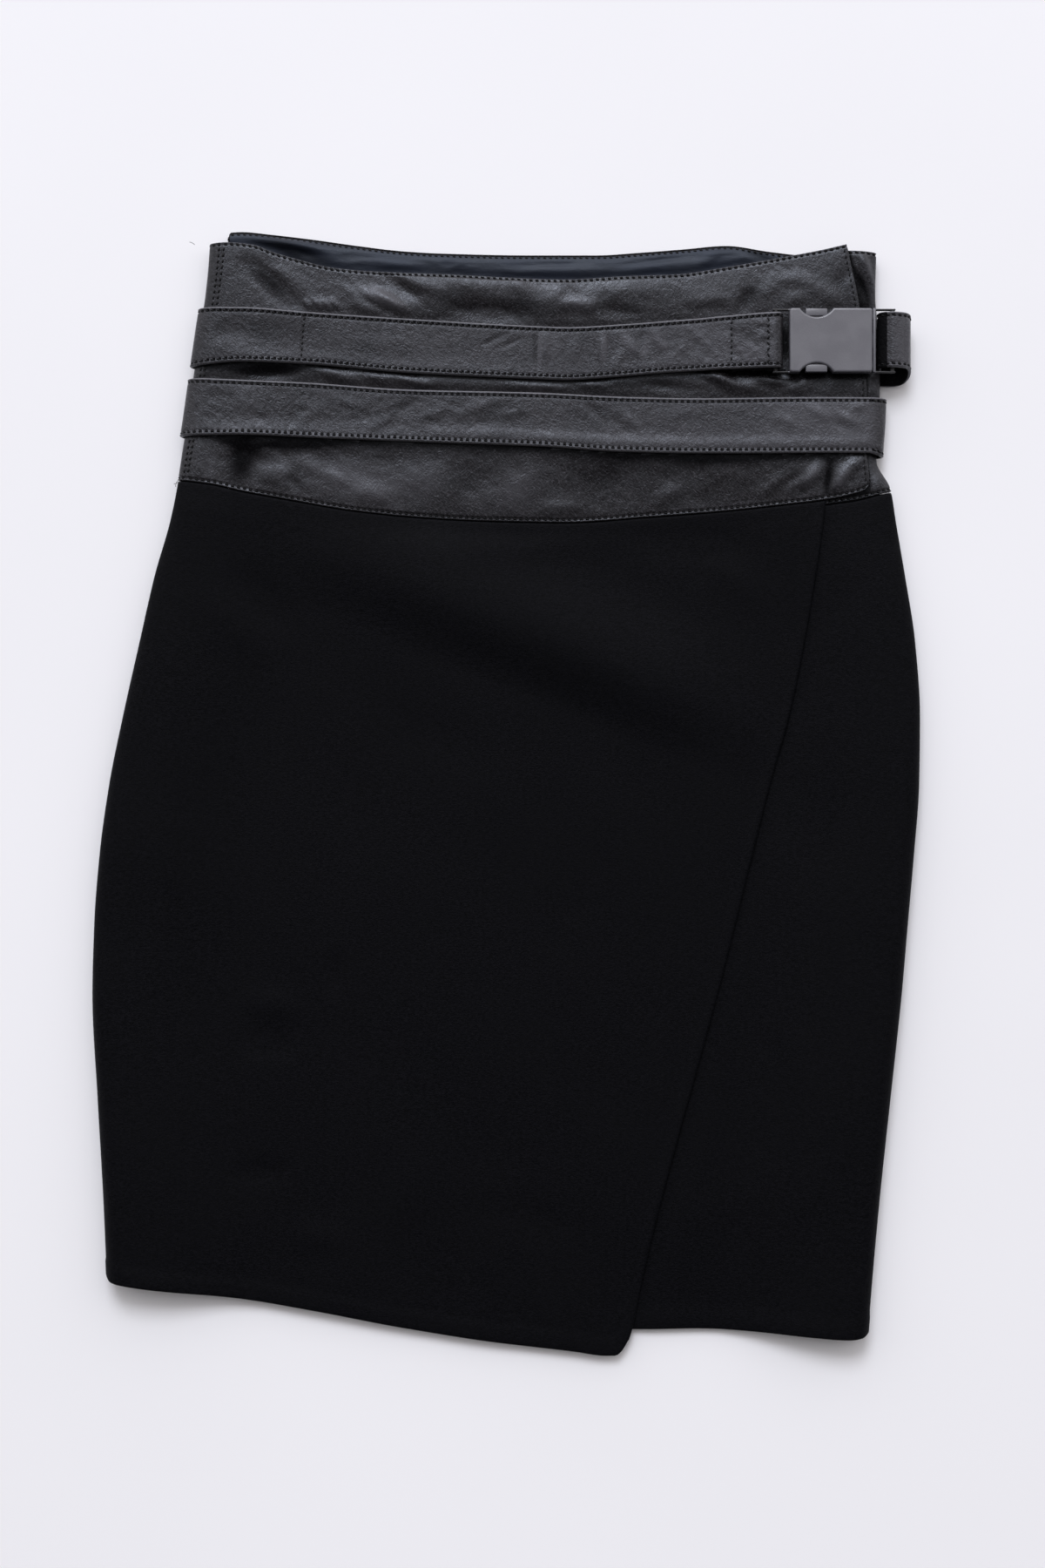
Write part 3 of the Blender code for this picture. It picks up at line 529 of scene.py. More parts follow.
def seam_after(y):
    """Share round a fold where the piece after the side seam starts."""
    return 0.5 + half_gap_share(y)


def yoke_seam_share(y):
    """Share of the left fold, from its top, at which the yoke's side seam lies."""
    cosine = 1 - read(SIDE_SEAM_IN, "inset", y) / FOLD_REACH
    return 0.5 - np.arccos(cosine) / np.pi


def after_yoke_seam(y):
    """The same seam, a seam's gap further round the fold."""
    return yoke_seam_share(y) + SIDE_SEAM_GAP / (np.pi * SIDE_SEAM_RADIUS)


def strap_middle():
    """y of the upper strap's middle, where it meets the buckle."""
    return (PLATE_TOP + PLATE_BOTTOM) / 2


def plate_height():
    """z of the middle of the buckle's plate, which lies on the over yoke."""
    yoke = float(over_height(np.array(PLATE_RIGHT), strap_middle()))
    return yoke + LEATHER / 2 + LAYER_GAP + PLATE_THICK / 2


def bar_height():
    """z of the buckle's two bars."""
    return plate_height() - BAR_DROP


def turned_back_end(x, y):
    """Middle of the strap's turned-back end: on the yoke at its tip, rising to the bar."""
    on_yoke = over_height(x, y) + STRAP_OUT
    at_bar = bar_height() - LOOP_RADIUS
    return on_yoke + (at_bar - on_yoke) * ease(x, RISE_START, HOUSING_BAR_X)


def strap_end_points(zone, part, y):
    """x and z along the upper strap's two ends, where it loops round the buckle's bars."""
    if zone == "turn_back":
        x = TURN_BACK_END + (HOUSING_BAR_X - TURN_BACK_END) * part
        return x, turned_back_end(x, y)
    if zone == "bar_loop":
        angle = np.pi * (part - 0.5)
        return HOUSING_BAR_X + LOOP_RADIUS * np.cos(angle), bar_height() + LOOP_RADIUS * np.sin(angle)
    if zone == "ramp":
        x = HOUSING_BAR_X + (LIFT_START - HOUSING_BAR_X) * part
        stack = STRAP + LAYER_GAP
        apart = stack * ease(x, LIFT_START, LIFT_END)
        apart = apart + (2 * LOOP_RADIUS - stack) * ease(x, RISE_START, HOUSING_BAR_X)
        return x, turned_back_end(x, y) + apart
    floor_z = STRAP / 2
    rise = (bar_height() + LOOP_RADIUS - floor_z) / 2
    turn_x = LOOP_OUTER - STRAP / 2 - LOOP_WIDE
    if zone == "tail":
        start = fold_left(y) + (fold_right(y) - fold_left(y)) * BACK_TAIL_START
        x = start + (turn_x - start) * part
        return x, read(LAYERS, "back", y) - STRAP_OUT
    if zone == "insert_turn":
        angle = np.radians(-90 + INSERT_TURN * part)
        return turn_x + LOOP_WIDE * np.cos(angle), floor_z + rise + rise * np.sin(angle)
    angle = np.radians(90 + (WRAP_END - 90) * part)
    return (INSERT_BAR_X - WRAP_LONG * np.cos(angle) ** 2,
            bar_height() + LOOP_RADIUS - WRAP_HIGH + WRAP_HIGH * np.sin(angle))


def after_ramp(y):
    """Share of the over zone, from the wool's edge, at which the strap's ramp has reached the yoke."""
    start = wool_edge(y)
    return (start - LIFT_START) / (start - fold_left(y))


ZONE_FRONT = {"over": 1.0, "under": 1.0, "ramp": 1.0}

# Settling of a grid: y of its first guess at the top, how far that falls, and the repetitions
FIRST_TOP = 0.3
FIRST_DROP = 0.5
SETTLING = 12


def columns(cells, start=(), end=()):
    """Columns of a stretch, as a share of its length plus an offset in metres.

    `start` and `end` are distances from an open end, at which columns are set one by one; the cells
    between the last of each are even.
    """
    near = list(start)
    far = list(end)
    first = near[-1] if near else 0.0
    last = far[-1] if far else 0.0
    t = np.linspace(0, 1, cells + 1)
    t = t[1 if near else 0:cells if far else cells + 1]
    share = np.concatenate([np.zeros(len(near)), t, np.ones(len(far))])
    offset = np.concatenate([near, first * (1 - t) - last * t, -np.array(far[::-1])])
    return share, offset


def edge_rounding(share, offset, roll, open_start=True, open_end=True):
    """Share of the full thickness near an open end: a quarter circle over the roll's distance."""
    from_start = np.where(share == 0, offset, roll)
    from_end = np.where(share == 1, -offset, roll)
    depth = np.full_like(share, 1.0)
    if open_start:
        depth = np.minimum(depth, np.clip(from_start / roll, 0, 1))
    if open_end:
        depth = np.minimum(depth, np.clip(from_end / roll, 0, 1))
    return np.sqrt(np.clip(1 - (1 - depth) ** 2, 0, 1))


def stretch_length(zone, y, inner_edge):
    """Length of a whole zone round the body at each y."""
    if zone == "over":
        return inner_edge(y) - fold_left(y)
    if zone == "back":
        return fold_right(y) - fold_left(y)
    if zone == "under":
        return fold_right(y) - read(WRAP_EDGES, "hidden_edge", y)
    return 0 * y + math.pi * FOLD_RADIUS


def lay(piece, rows):
    """Grid of a piece's middle points for some rows, each a share and an offset from top to bottom.

    x depends on y along slanted edges and y on x along curved ones, so the two are settled by
    repetition. Returns the points, the distances from the top and bottom edges, and how much of each
    point belongs to the front and to the back.
    """
    row_share = rows[0][:, None]
    row_offset = rows[1][:, None]
    blocks = []
    for zone, first, last, (share, offset) in piece["spans"]:
        y = FIRST_TOP - FIRST_DROP * row_share + 0 * share
        for _ in range(SETTLING):
            begin = first(y) if callable(first) else first
            end = last(y) if callable(last) else last
            length = stretch_length(zone, y, piece["inner_edge"]) * np.abs(end - begin)
            part = begin + (end - begin) * (share + offset / length)
            x, z = zone_points(zone, part, y, piece["out"], piece["inner_edge"])
            y_top = edge_y(piece["top"], zone, x, z, part) - piece["trim"][0]
            y_bottom = edge_y(piece["bottom"], zone, x, z, part) + piece["trim"][1]
            y = y_top + (y_bottom - y_top) * row_share - row_offset
        front = 0 * y + ZONE_FRONT.get(zone, 0.0)
        rear = 0 * y + (1.0 if zone == "back" else 0.0)
        if zone == "left":
            front = 1 - ease(part, 0, FOLD_FADE)
            rear = ease(part, 1 - FOLD_FADE, 1)
        if zone in ("right", "strap_right"):
            front = ease(part, 1 - FOLD_FADE, 1)
            rear = 1 - ease(part, 0, FOLD_FADE)
        blocks.append(np.stack([x + 0 * y, y, z + 0 * y, y_top - y, y - y_bottom, front, rear], axis=2))
    whole = np.concatenate(blocks, axis=1)
    return whole[:, :, :3], whole[:, :, 3], whole[:, :, 4], whole[:, :, 5], whole[:, :, 6]


def outward(points, closed=False):
    """Unit normals of a grid, from the steps between neighbouring columns and rows."""
    if closed:
        wrapped = np.concatenate([points[:, -1:], points, points[:, :1]], axis=1)
        across = np.gradient(wrapped, axis=1)[:, 1:-1]
    else:
        across = np.gradient(points, axis=1)
    down = np.gradient(points, axis=0)
    normal = np.cross(across, down)
    return normal / np.maximum(np.linalg.norm(normal, axis=2, keepdims=True), 1e-12)


def settled(piece, rows):
    """The grid with its creases: each middle point moved along its normal by the piece's relief.

    Also returns the distances from the top and bottom edges, and what belongs to the front.
    """
    points, from_top, from_bottom, front, rear = lay(piece, rows)
    if piece["relief"]:
        height = piece["relief"](points[:, :, 0], points[:, :, 1], front, rear, from_top, from_bottom)
        points = points + outward(points, piece["closed"]) * height[:, :, None]
    return points, from_top, from_bottom, front


def grooves(from_edge, off_edge, depth):
    """Dip of the wall where a row of stitches pulls it down, and the lip that this leaves at the edge.

    `off_edge` is the distance from the edge, shifted so that the row always lies at STITCH_INSET.
    """
    near = np.clip(np.abs(off_edge - STITCH_INSET) / GROOVE_WIDE, 0, 1)
    lip = LIP_HIGH * np.exp(-((off_edge - LIP_PLACE * STITCH_INSET) / LIP_WIDE) ** 2)
    lip = lip * np.sign(depth) * np.clip(from_edge / LIP_START, 0, 1)
    return lip - depth * np.cos(0.5 * np.pi * near) ** 2


def new_mesh(name, points, faces, smooth=False):
    """New object at the origin, with a mesh of these points and faces."""
    mesh = bpy.data.meshes.new(name)
    mesh.from_pydata(points.reshape(-1, 3).tolist(), [], faces)
    if smooth:
        mesh.shade_smooth()
    thing = bpy.data.objects.new(name, mesh)
    bpy.context.scene.collection.objects.link(thing)
    return thing


def quads(index):
    """Faces between the neighbours of an index grid, with their normals along column x row."""
    corners = [index[:-1, :-1], index[:-1, 1:], index[1:, 1:], index[1:, :-1]]
    return np.stack(corners, axis=2).reshape(-1, 4)


def wall(name, upper, lower, half, cut, tone, closed=False):
    """Closed smooth mesh of two grids of points, which share points where the wall has no thickness.

    Each point's place in the cut and its tone are stored as attributes. Along the piece, the cut
    counts down from 0 on the inner side, so that the two sides can differ.
    """
    count, width = half.shape
    top_index = np.arange(count * width).reshape(count, width)
    bottom_index = np.where(half <= 0, top_index, top_index + count * width)
    if closed:
        top_index = np.concatenate([top_index, top_index[:, :1]], axis=1)
        bottom_index = np.concatenate([bottom_index, bottom_index[:, :1]], axis=1)
    faces = np.concatenate([quads(top_index), quads(bottom_index)[:, ::-1]])
    vertices = np.concatenate([upper.reshape(-1, 3), lower.reshape(-1, 3)])
    used = np.unique(faces)
    renumber = np.zeros(len(vertices), int)
    renumber[used] = np.arange(len(used))
    both = np.concatenate([cut.reshape(-1, 3), cut.reshape(-1, 3) * [-1, 1, 1]])
    thing = new_mesh(name, vertices[used], renumber[faces].tolist(), smooth=True)
    for title, kind, key, values in (("cut", "FLOAT_VECTOR", "vector", both[used]),
                                     ("tone", "FLOAT", "value", np.tile(tone.ravel(), 2)[used])):
        stored = thing.data.attributes.new(title, kind, "POINT")
        stored.data.foreach_set(key, values.astype(np.float32).ravel())
    return thing


def cloth(name, piece):
    """Wall round the piece's middle grid.

    Each side lies half a thickness out along the normal, times the edge rounding of its row and
    column. The outer side also dips at its rows of stitches and rises over turned hems.
    """
    points, from_top, from_bottom, front = settled(piece, piece["rows"])
    normal = outward(points, piece["closed"])
    rounding = edge_rounding(*piece["rows"], piece["roll"])[:, None] * np.ones(points.shape[1])
    if not piece["closed"]:
        last = len(piece["spans"]) - 1
        ends = [edge_rounding(*span[3], piece["roll"], number == 0, number == last)
                for number, span in enumerate(piece["spans"])]
        rounding = rounding * np.concatenate(ends)[None, :]
    half = rounding * piece["thickness"] / 2
    off_top = from_top + STITCH_INSET - piece["insets"][0]
    off_bottom = from_bottom + STITCH_INSET - piece["insets"][1]
    rise = grooves(from_top, off_top, piece["groove"]) + grooves(from_bottom, off_bottom, piece["groove"])
    if piece["thicker"]:
        rise = rise + rounding * piece["thicker"](points[:, :, 0], points[:, :, 1], from_bottom)
    along = np.zeros(half.shape)
    along[:, 1:] = np.cumsum(np.linalg.norm(np.diff(points, axis=1), axis=2), axis=1)
    # Along a piece's shaded end the cut counts down, like on the inner side, so that the leather's look
    # paints it black as shade
    along = np.where(along[:, -1:] - along < piece["dull_end"], -along, along)
    cut = np.stack([along, off_top, off_bottom], axis=2)
    upper = points + normal * (half + rise)[:, :, None]
    lower = points - normal * half[:, :, None]
    tone = np.zeros(half.shape)
    if piece["tone"]:
        tone = piece["tone"](points[:, :, 0], points[:, :, 1], front)
    return wall(name, upper, lower, half, cut, tone, piece["closed"])


# Soft ridges (height above 0) and troughs (below 0), placed one by one: centre, direction of the
# crest in degrees from +X, half length, width of the bell across it, height, and where it isn't
# straight, how many widths its ends bend to the left of the direction
YOKE_CREASES = [
    # above the upper strap, left to right
    (-0.1325, 0.285, -42, 0.027, 0.0046, -0.0021, 0.2), (-0.1275, 0.293, -30, 0.016, 0.004, 0.0003),
    (-0.119, 0.286, -35, 0.02, 0.005, 0.0004), (-0.112, 0.2746, -44, 0.006, 0.0013, 0.0011),
    (-0.107, 0.275, -44, 0.007, 0.0013, 0.0013), (-0.1022, 0.275, -44, 0.007, 0.0013, 0.0012),
    (-0.0975, 0.2752, -44, 0.007, 0.0013, 0.0011), (-0.086, 0.28, -36, 0.014, 0.0028, 0.0007, 0.4),
    (-0.077, 0.279, -34, 0.014, 0.002, 0.001), (-0.067, 0.2768, -29, 0.017, 0.0028, 0.0031, 0.2),
    (-0.08, 0.2728, -18, 0.014, 0.0032, 0.0011), (-0.059, 0.284, -30, 0.018, 0.0036, -0.0012, 0.3),
    (-0.05, 0.287, -24, 0.022, 0.0045, 0.001, 0.3), (-0.017, 0.286, -6, 0.04, 0.006, 0.0012, 0.5),
    (0.006, 0.286, -48, 0.012, 0.0042, 0.001), (-0.01, 0.271, -4, 0.036, 0.0055, -0.0018, -0.4),
    (0.027, 0.281, 55, 0.016, 0.006, 0.0009), (0.04, 0.2748, -4, 0.018, 0.0036, 0.0014, -0.6),
    (0.062, 0.2705, -8, 0.022, 0.0036, -0.0008), (0.064, 0.283, 4, 0.03, 0.006, 0.00075),
    (0.114, 0.2775, 8, 0.02, 0.0046, 0.0006, -0.5), (0.113, 0.2722, 8, 0.018, 0.0036, -0.0005),
    (0.134, 0.277, 62, 0.012, 0.004, -0.001), (0.148, 0.284, 44, 0.016, 0.0042, 0.0006, -0.5),
    (0.164, 0.288, -4, 0.016, 0.004, 0.0006, -0.8), (0.179, 0.28, -38, 0.016, 0.0046, 0.0008, -0.5),
    (0.161, 0.277, 20, 0.012, 0.004, 0.0006), (0.189, 0.29, 60, 0.014, 0.0046, -0.0009),
    # between the straps
    (-0.133, 0.236, 0, 0.024, 0.0036, -0.0014), (-0.096, 0.2352, -18, 0.018, 0.003, 0.0014),
    (-0.073, 0.2335, -8, 0.012, 0.0026, 0.001), (-0.054, 0.2315, -14, 0.018, 0.0026, 0.0012),
    (0.018, 0.2285, -4, 0.022, 0.003, 0.00075), (0.048, 0.23, -8, 0.014, 0.0026, 0.0012),
    (0.09, 0.2285, -6, 0.03, 0.003, -0.0009), (0.12, 0.2328, -24, 0.015, 0.0026, 0.0027, -0.8),
    (0.133, 0.229, -16, 0.012, 0.0026, 0.0012), (0.148, 0.232, -6, 0.015, 0.003, 0.0015),
    (0.164, 0.229, 20, 0.012, 0.0036, 0.0009),
    # below the lower strap, left to right
    (-0.1735, 0.1865, 82, 0.02, 0.006, 0.0008), (-0.1485, 0.187, 74, 0.03, 0.007, -0.0018),
    (-0.144, 0.195, -6, 0.016, 0.006, 0.001), (-0.06, 0.169, -6, 0.11, 0.012, 0.0014),
    (-0.129, 0.179, 6, 0.016, 0.005, 0.0009), (-0.1195, 0.1745, -72, 0.012, 0.0024, -0.0008),
    (-0.113, 0.185, -36, 0.012, 0.003, 0.0007), (-0.096, 0.1775, -30, 0.01, 0.0026, 0.0006),
    (-0.076, 0.168, -12, 0.018, 0.005, 0.0008), (-0.046, 0.179, 8, 0.024, 0.008, 0.0006),
    (-0.02, 0.172, 40, 0.024, 0.008, -0.0008), (0.008, 0.174, 50, 0.022, 0.008, 0.0009),
    (0.029, 0.161, 4, 0.022, 0.005, 0.0007), (0.056, 0.176, 25, 0.024, 0.007, -0.0005),
    (0.09, 0.168, 30, 0.016, 0.0044, 0.001), (0.12, 0.179, 12, 0.024, 0.006, 0.0006),
    (0.148, 0.173, 36, 0.014, 0.0036, 0.0008), (0.161, 0.1765, 24, 0.014, 0.0024, -0.0006),
    (0.17, 0.178, 46, 0.012, 0.0036, 0.0016), (0.1798, 0.1745, 86, 0.014, 0.0024, -0.002),
    (0.185, 0.174, 52, 0.012, 0.003, 0.0015), (0.193, 0.183, 38, 0.014, 0.0034, 0.0012),
]

UNDER_YOKE_CREASES = [
    (0.199, 0.283, -61, 0.018, 0.0028, -0.0014), (0.2032, 0.2905, -66, 0.018, 0.0022, 0.0018),
    (0.1995, 0.299, -70, 0.008, 0.002, 0.0008), (0.2068, 0.185, 80, 0.012, 0.0018, -0.001),
    (0.2095, 0.18, 70, 0.012, 0.0018, 0.0012), (0.207, 0.227, 88, 0.006, 0.0014, 0.001),
]

# How far the front stands up along the straps' lower edges, and how strongly its bare stretches arch
LIFT = ("x upper lower", [
    (-0.185, 0.0, 0.0), (-0.165, 0.0005, 0.0008), (-0.145, 0.0012, 0.0018), (-0.1, 0.0008, 0.0012),
    (-0.04, 0.0008, 0.0011), (0.03, 0.0005, 0.0014), (0.1, 0.0004, 0.0012), (0.15, 0.0, 0.0008),
    (0.19, 0.0, 0.0004), (0.205, 0.0, 0.0),
])
LIFT_ABOVE = 0.0065
LIFT_BELOW = 0.0080
YOKE_ARCH = ("x upper middle lower", [
    (-0.17, 0.0, 0.03, 0.0), (-0.07, 0.008, 0.04, 0.0), (-0.045, 0.045, 0.06, 0.004),
    (0.03, 0.045, 0.05, 0.004), (0.1, 0.032, 0.05, 0.0), (0.14, 0.014, 0.05, 0.01),
    (0.19, 0.014, 0.04, 0.03),
])

# The hidden side of the yoke is creased in the same way
BACK_YOKE_CREASES = [
    (-0.128, 0.285, 34, 0.022, 0.0044, -0.0008, 0.5), (-0.09, 0.29, 22, 0.018, 0.0046, 0.0008),
    (-0.042, 0.282, -12, 0.026, 0.005, -0.0007, 0.4), (0.006, 0.288, 30, 0.016, 0.0042, 0.0009),
    (0.056, 0.28, -26, 0.022, 0.0046, -0.0008), (0.106, 0.289, 16, 0.018, 0.004, 0.0008),
    (0.156, 0.282, -34, 0.018, 0.0046, -0.0008, 0.5), (-0.118, 0.182, 78, 0.016, 0.0046, -0.0008),
    (-0.07, 0.178, 20, 0.018, 0.0046, 0.0007), (-0.012, 0.184, -16, 0.026, 0.006, -0.0007),
    (0.05, 0.176, 24, 0.018, 0.0046, 0.0008), (0.102, 0.183, -30, 0.016, 0.004, -0.0007),
    (0.158, 0.177, 40, 0.014, 0.004, 0.0008),
]

UPPER_STRAP_CREASES = [
    (-0.148, 0.26, 8, 0.03, 0.006, -0.00045), (-0.156, 0.25, 0, 0.018, 0.005, 0.00045),
    (-0.07, 0.252, -4, 0.04, 0.006, 0.0003), (-0.008, 0.2545, 26, 0.013, 0.0012, -0.00045),
    (0.001, 0.252, 24, 0.014, 0.0012, -0.00045), (0.017, 0.249, 88, 0.02, 0.0012, -0.00045),
    (0.021, 0.251, 88, 0.015, 0.003, 0.00075), (0.037, 0.248, 84, 0.012, 0.003, 0.00045),
    (0.053, 0.25, 86, 0.014, 0.0018, 0.0009), (0.069, 0.2515, -52, 0.014, 0.0026, 0.0009, 0.3),
    (0.063, 0.244, 60, 0.01, 0.003, 0.00045), (0.085, 0.2545, -62, 0.013, 0.0024, 0.00075, 0.3),
    (0.095, 0.247, 50, 0.012, 0.0026, 0.00045), (0.107, 0.256, -40, 0.014, 0.002, 0.00045),
    (0.1254, 0.253, 90, 0.03, 0.0008, -0.00045), (0.1455, 0.253, 90, 0.03, 0.001, -0.00045),
    (-0.1148, 0.256, 86, 0.03, 0.0008, -0.00045),
]

# Folds down the loop at the insert's bar
LOOP_CREASES = [
    (0.2162, 0.253, 89, 0.03, 0.0009, -0.0004), (0.2184, 0.253, 91, 0.03, 0.001, 0.0006),
    (0.2212, 0.253, 89, 0.03, 0.001, -0.0003), (0.2232, 0.253, 90, 0.03, 0.0009, 0.0005),
]

LOWER_STRAP_CREASES = [
    (-0.144, 0.219, -12, 0.018, 0.006, 0.0006), (-0.109, 0.213, 30, 0.014, 0.0034, 0.00045),
    (-0.09, 0.219, -20, 0.014, 0.003, 0.00045), (-0.072, 0.208, 24, 0.016, 0.003, 0.0006),
    (-0.056, 0.217, 32, 0.018, 0.003, -0.00045), (-0.042, 0.213, 24, 0.018, 0.0034, 0.0006),
    (-0.018, 0.216, 20, 0.02, 0.0034, 0.0006), (-0.006, 0.209, 10, 0.02, 0.0026, -0.00045),
    (0.003, 0.213, 24, 0.014, 0.0026, 0.0006), (0.05, 0.213, -44, 0.014, 0.0018, -0.0006),
    (0.062, 0.207, -46, 0.014, 0.0016, -0.0006), (0.069, 0.209, -46, 0.012, 0.0022, 0.0006),
    (0.096, 0.213, 12, 0.014, 0.0034, 0.0003), (0.156, 0.209, -30, 0.01, 0.0026, 0.00075),
    (0.176, 0.212, -32, 0.014, 0.0028, 0.0009), (0.184, 0.207, -34, 0.012, 0.002, -0.0006),
    (0.19, 0.21, -30, 0.012, 0.0024, 0.0009), (0.196, 0.216, 20, 0.008, 0.0026, 0.0006),
    (0.2068, 0.206, 88, 0.03, 0.0012, -0.00045),
]
LOWER_STRAP_RIBBON = 0.0004
RIBBON_IN = 0.0062
RIBBON_WIDE = 0.0024

SATIN_CREASES = [
    (-0.125, 0.3112, -14, 0.034, 0.0036, 0.0018), (-0.137, 0.3085, -12, 0.022, 0.0026, -0.0009),
    (-0.113, 0.3035, -24, 0.018, 0.0034, -0.0012), (-0.118, 0.3085, -12, 0.03, 0.0018, 0.00072),
    (-0.07, 0.3018, -6, 0.028, 0.0018, -0.00054), (-0.064, 0.2985, -8, 0.024, 0.0022, 0.00045),
    (-0.03, 0.2965, 24, 0.014, 0.0016, 0.00036), (0.027, 0.2982, 2, 0.034, 0.0014, -0.00081, 0.4),
    (0.026, 0.2945, 2, 0.036, 0.0022, 0.00054), (0.086, 0.3005, 8, 0.032, 0.0016, -0.00072),
    (0.082, 0.2965, 8, 0.034, 0.0024, 0.00054), (0.116, 0.304, 40, 0.012, 0.003, 0.001),
    (0.128, 0.3085, 24, 0.012, 0.0022, 0.0009), (0.14, 0.3045, -30, 0.014, 0.003, -0.0013),
    (0.15, 0.303, -12, 0.014, 0.0016, 0.00045),
]

WOOL_CREASES = [
    (-0.137, 0.108, -52, 0.032, 0.009, -0.0013), (-0.155, 0.095, -56, 0.036, 0.01, 0.00091),
    (0.106, 0.142, -12, 0.046, 0.01, -0.001), (0.0, 0.138, 4, 0.06, 0.01, 0.00078),
    (0.128, 0.12, -48, 0.03, 0.009, 0.00078), (0.06, -0.02, -70, 0.07, 0.018, 0.00078, 0.3),
    (-0.04, 0.03, -24, 0.06, 0.016, -0.00065), (-0.09, -0.02, 84, 0.07, 0.015, -0.00065),
    (-0.134, -0.14, 4, 0.024, 0.008, -0.001), (-0.132, -0.118, -6, 0.026, 0.008, 0.00091),
    (-0.097, -0.102, 86, 0.018, 0.006, -0.00078), (-0.139, -0.213, 8, 0.026, 0.007, -0.00078),
    (-0.106, -0.25, -4, 0.026, 0.008, 0.00078), (-0.02, -0.16, 78, 0.06, 0.016, 0.00065),
    (0.01, -0.24, -12, 0.05, 0.012, -0.00065), (-0.06, -0.23, 70, 0.04, 0.012, 0.00065),
    (-0.195, -0.06, 88, 0.09, 0.008, 0.00052),
]

UNDER_WOOL_CREASES = [
    (0.185, 0.108, 60, 0.03, 0.009, -0.0006), (0.205, 0.06, -82, 0.05, 0.008, 0.0006),
    (0.175, -0.03, 80, 0.05, 0.01, -0.0005), (0.16, -0.14, -78, 0.06, 0.01, 0.0005),
    (0.13, -0.23, 40, 0.04, 0.01, 0.0004), (0.18, -0.25, -70, 0.04, 0.009, -0.0004),
]

# On the surface side the wool only lifts off the table, so its creases there are all troughs
BACK_WOOL_CREASES = [
    (-0.12, 0.07, 62, 0.07, 0.014, -0.0005), (0.03, 0.1, -18, 0.09, 0.015, -0.0005),
    (0.13, 0.02, -64, 0.07, 0.014, -0.0005), (-0.05, -0.05, 24, 0.08, 0.016, -0.0004),
    (0.08, -0.15, -36, 0.08, 0.015, -0.0005), (-0.12, -0.18, 48, 0.06, 0.013, -0.0004),
]

# Soft patches of painted shade (below 0) and painted highlight (above 0), placed like creases. A crease
# also gets painted shade in its trough and a painted highlight on its crest, by CREASE_TONE for each
# metre.
YOKE_TONES = [
    (-0.133, 0.288, -36, 0.026, 0.006, -0.45), (-0.069, 0.279, -30, 0.018, 0.004, 1.0),
    (-0.082, 0.286, -34, 0.016, 0.004, 0.25), (-0.035, 0.279, -14, 0.036, 0.009, -0.45),
    (0.017, 0.286, -10, 0.026, 0.006, 0.4), (0.012, 0.274, -4, 0.03, 0.007, -0.5),
    (0.037, 0.2755, -6, 0.022, 0.005, 0.35), (0.082, 0.28, 6, 0.034, 0.008, -0.25),
    (0.137, 0.28, 30, 0.022, 0.008, -0.45), (0.142, 0.2915, 12, 0.018, 0.005, 0.3),
    (0.171, 0.285, -24, 0.018, 0.006, 0.2), (0.188, 0.282, -60, 0.018, 0.006, -0.4),
    (-0.138, 0.2362, 0, 0.026, 0.004, -0.7), (-0.09, 0.2345, -10, 0.03, 0.003, 0.35),
    (0.07, 0.229, -4, 0.06, 0.003, -0.4), (0.186, 0.229, 0, 0.03, 0.006, -0.5),
    (-0.166, 0.185, 84, 0.022, 0.006, 0.35), (-0.1475, 0.1915, 74, 0.03, 0.0085, -0.85),
    (-0.06, 0.176, -6, 0.11, 0.012, 0.28), (0.1555, 0.253, 90, 0.018, 0.003, -1.2),
    (-0.123, 0.196, -4, 0.04, 0.005, -0.7), (-0.119, 0.178, -74, 0.016, 0.003, -0.35),
    (-0.09, 0.178, -30, 0.04, 0.01, 0.18), (-0.026, 0.171, 55, 0.024, 0.009, -0.4),
    (0.008, 0.172, 60, 0.026, 0.009, 0.3), (0.056, 0.182, 10, 0.036, 0.008, -0.35),
    (0.115, 0.186, 6, 0.05, 0.006, -0.45), (0.18, 0.175, 86, 0.02, 0.0035, -0.8),
    (0.171, 0.179, 50, 0.012, 0.004, 0.4), (0.187, 0.176, 50, 0.014, 0.004, 0.4),
]
STRAP_TONES = [
    (-0.126, 0.261, 4, 0.032, 0.007, -0.35), (-0.156, 0.253, 0, 0.04, 0.02, -0.24),
    (-0.085, 0.252, -6, 0.05, 0.016, -0.18), (-0.006, 0.256, 26, 0.02, 0.003, -0.3),
    (0.015, 0.251, 90, 0.022, 0.0012, -0.55), (0.0182, 0.251, 88, 0.02, 0.0011, 1.0),
    (0.026, 0.253, 70, 0.018, 0.005, 0.4), (0.054, 0.249, 87, 0.012, 0.0011, 1.2),
    (0.067, 0.252, -54, 0.01, 0.002, 0.9), (0.077, 0.25, 70, 0.01, 0.0022, 0.55),
    (0.085, 0.253, -50, 0.012, 0.002, 0.6), (0.116, 0.252, 0, 0.02, 0.02, 0.1),
    (0.136, 0.26, -30, 0.018, 0.006, -0.35), (0.134, 0.246, -40, 0.01, 0.0016, 1.1),
    (0.139, 0.247, -40, 0.009, 0.0014, 0.9), (-0.15, 0.216, 10, 0.03, 0.006, 0.15),
    (-0.06, 0.218, 28, 0.03, 0.005, -0.25), (-0.042, 0.206, 0, 0.07, 0.0036, 0.3),
    (0.01, 0.216, -10, 0.04, 0.005, -0.25), (0.053, 0.212, -44, 0.02, 0.003, -0.3),
    (0.07, 0.201, -4, 0.06, 0.003, 0.25), (0.125, 0.212, 0, 0.04, 0.006, -0.15),
    (0.175, 0.21, -20, 0.03, 0.007, 0.25),
]
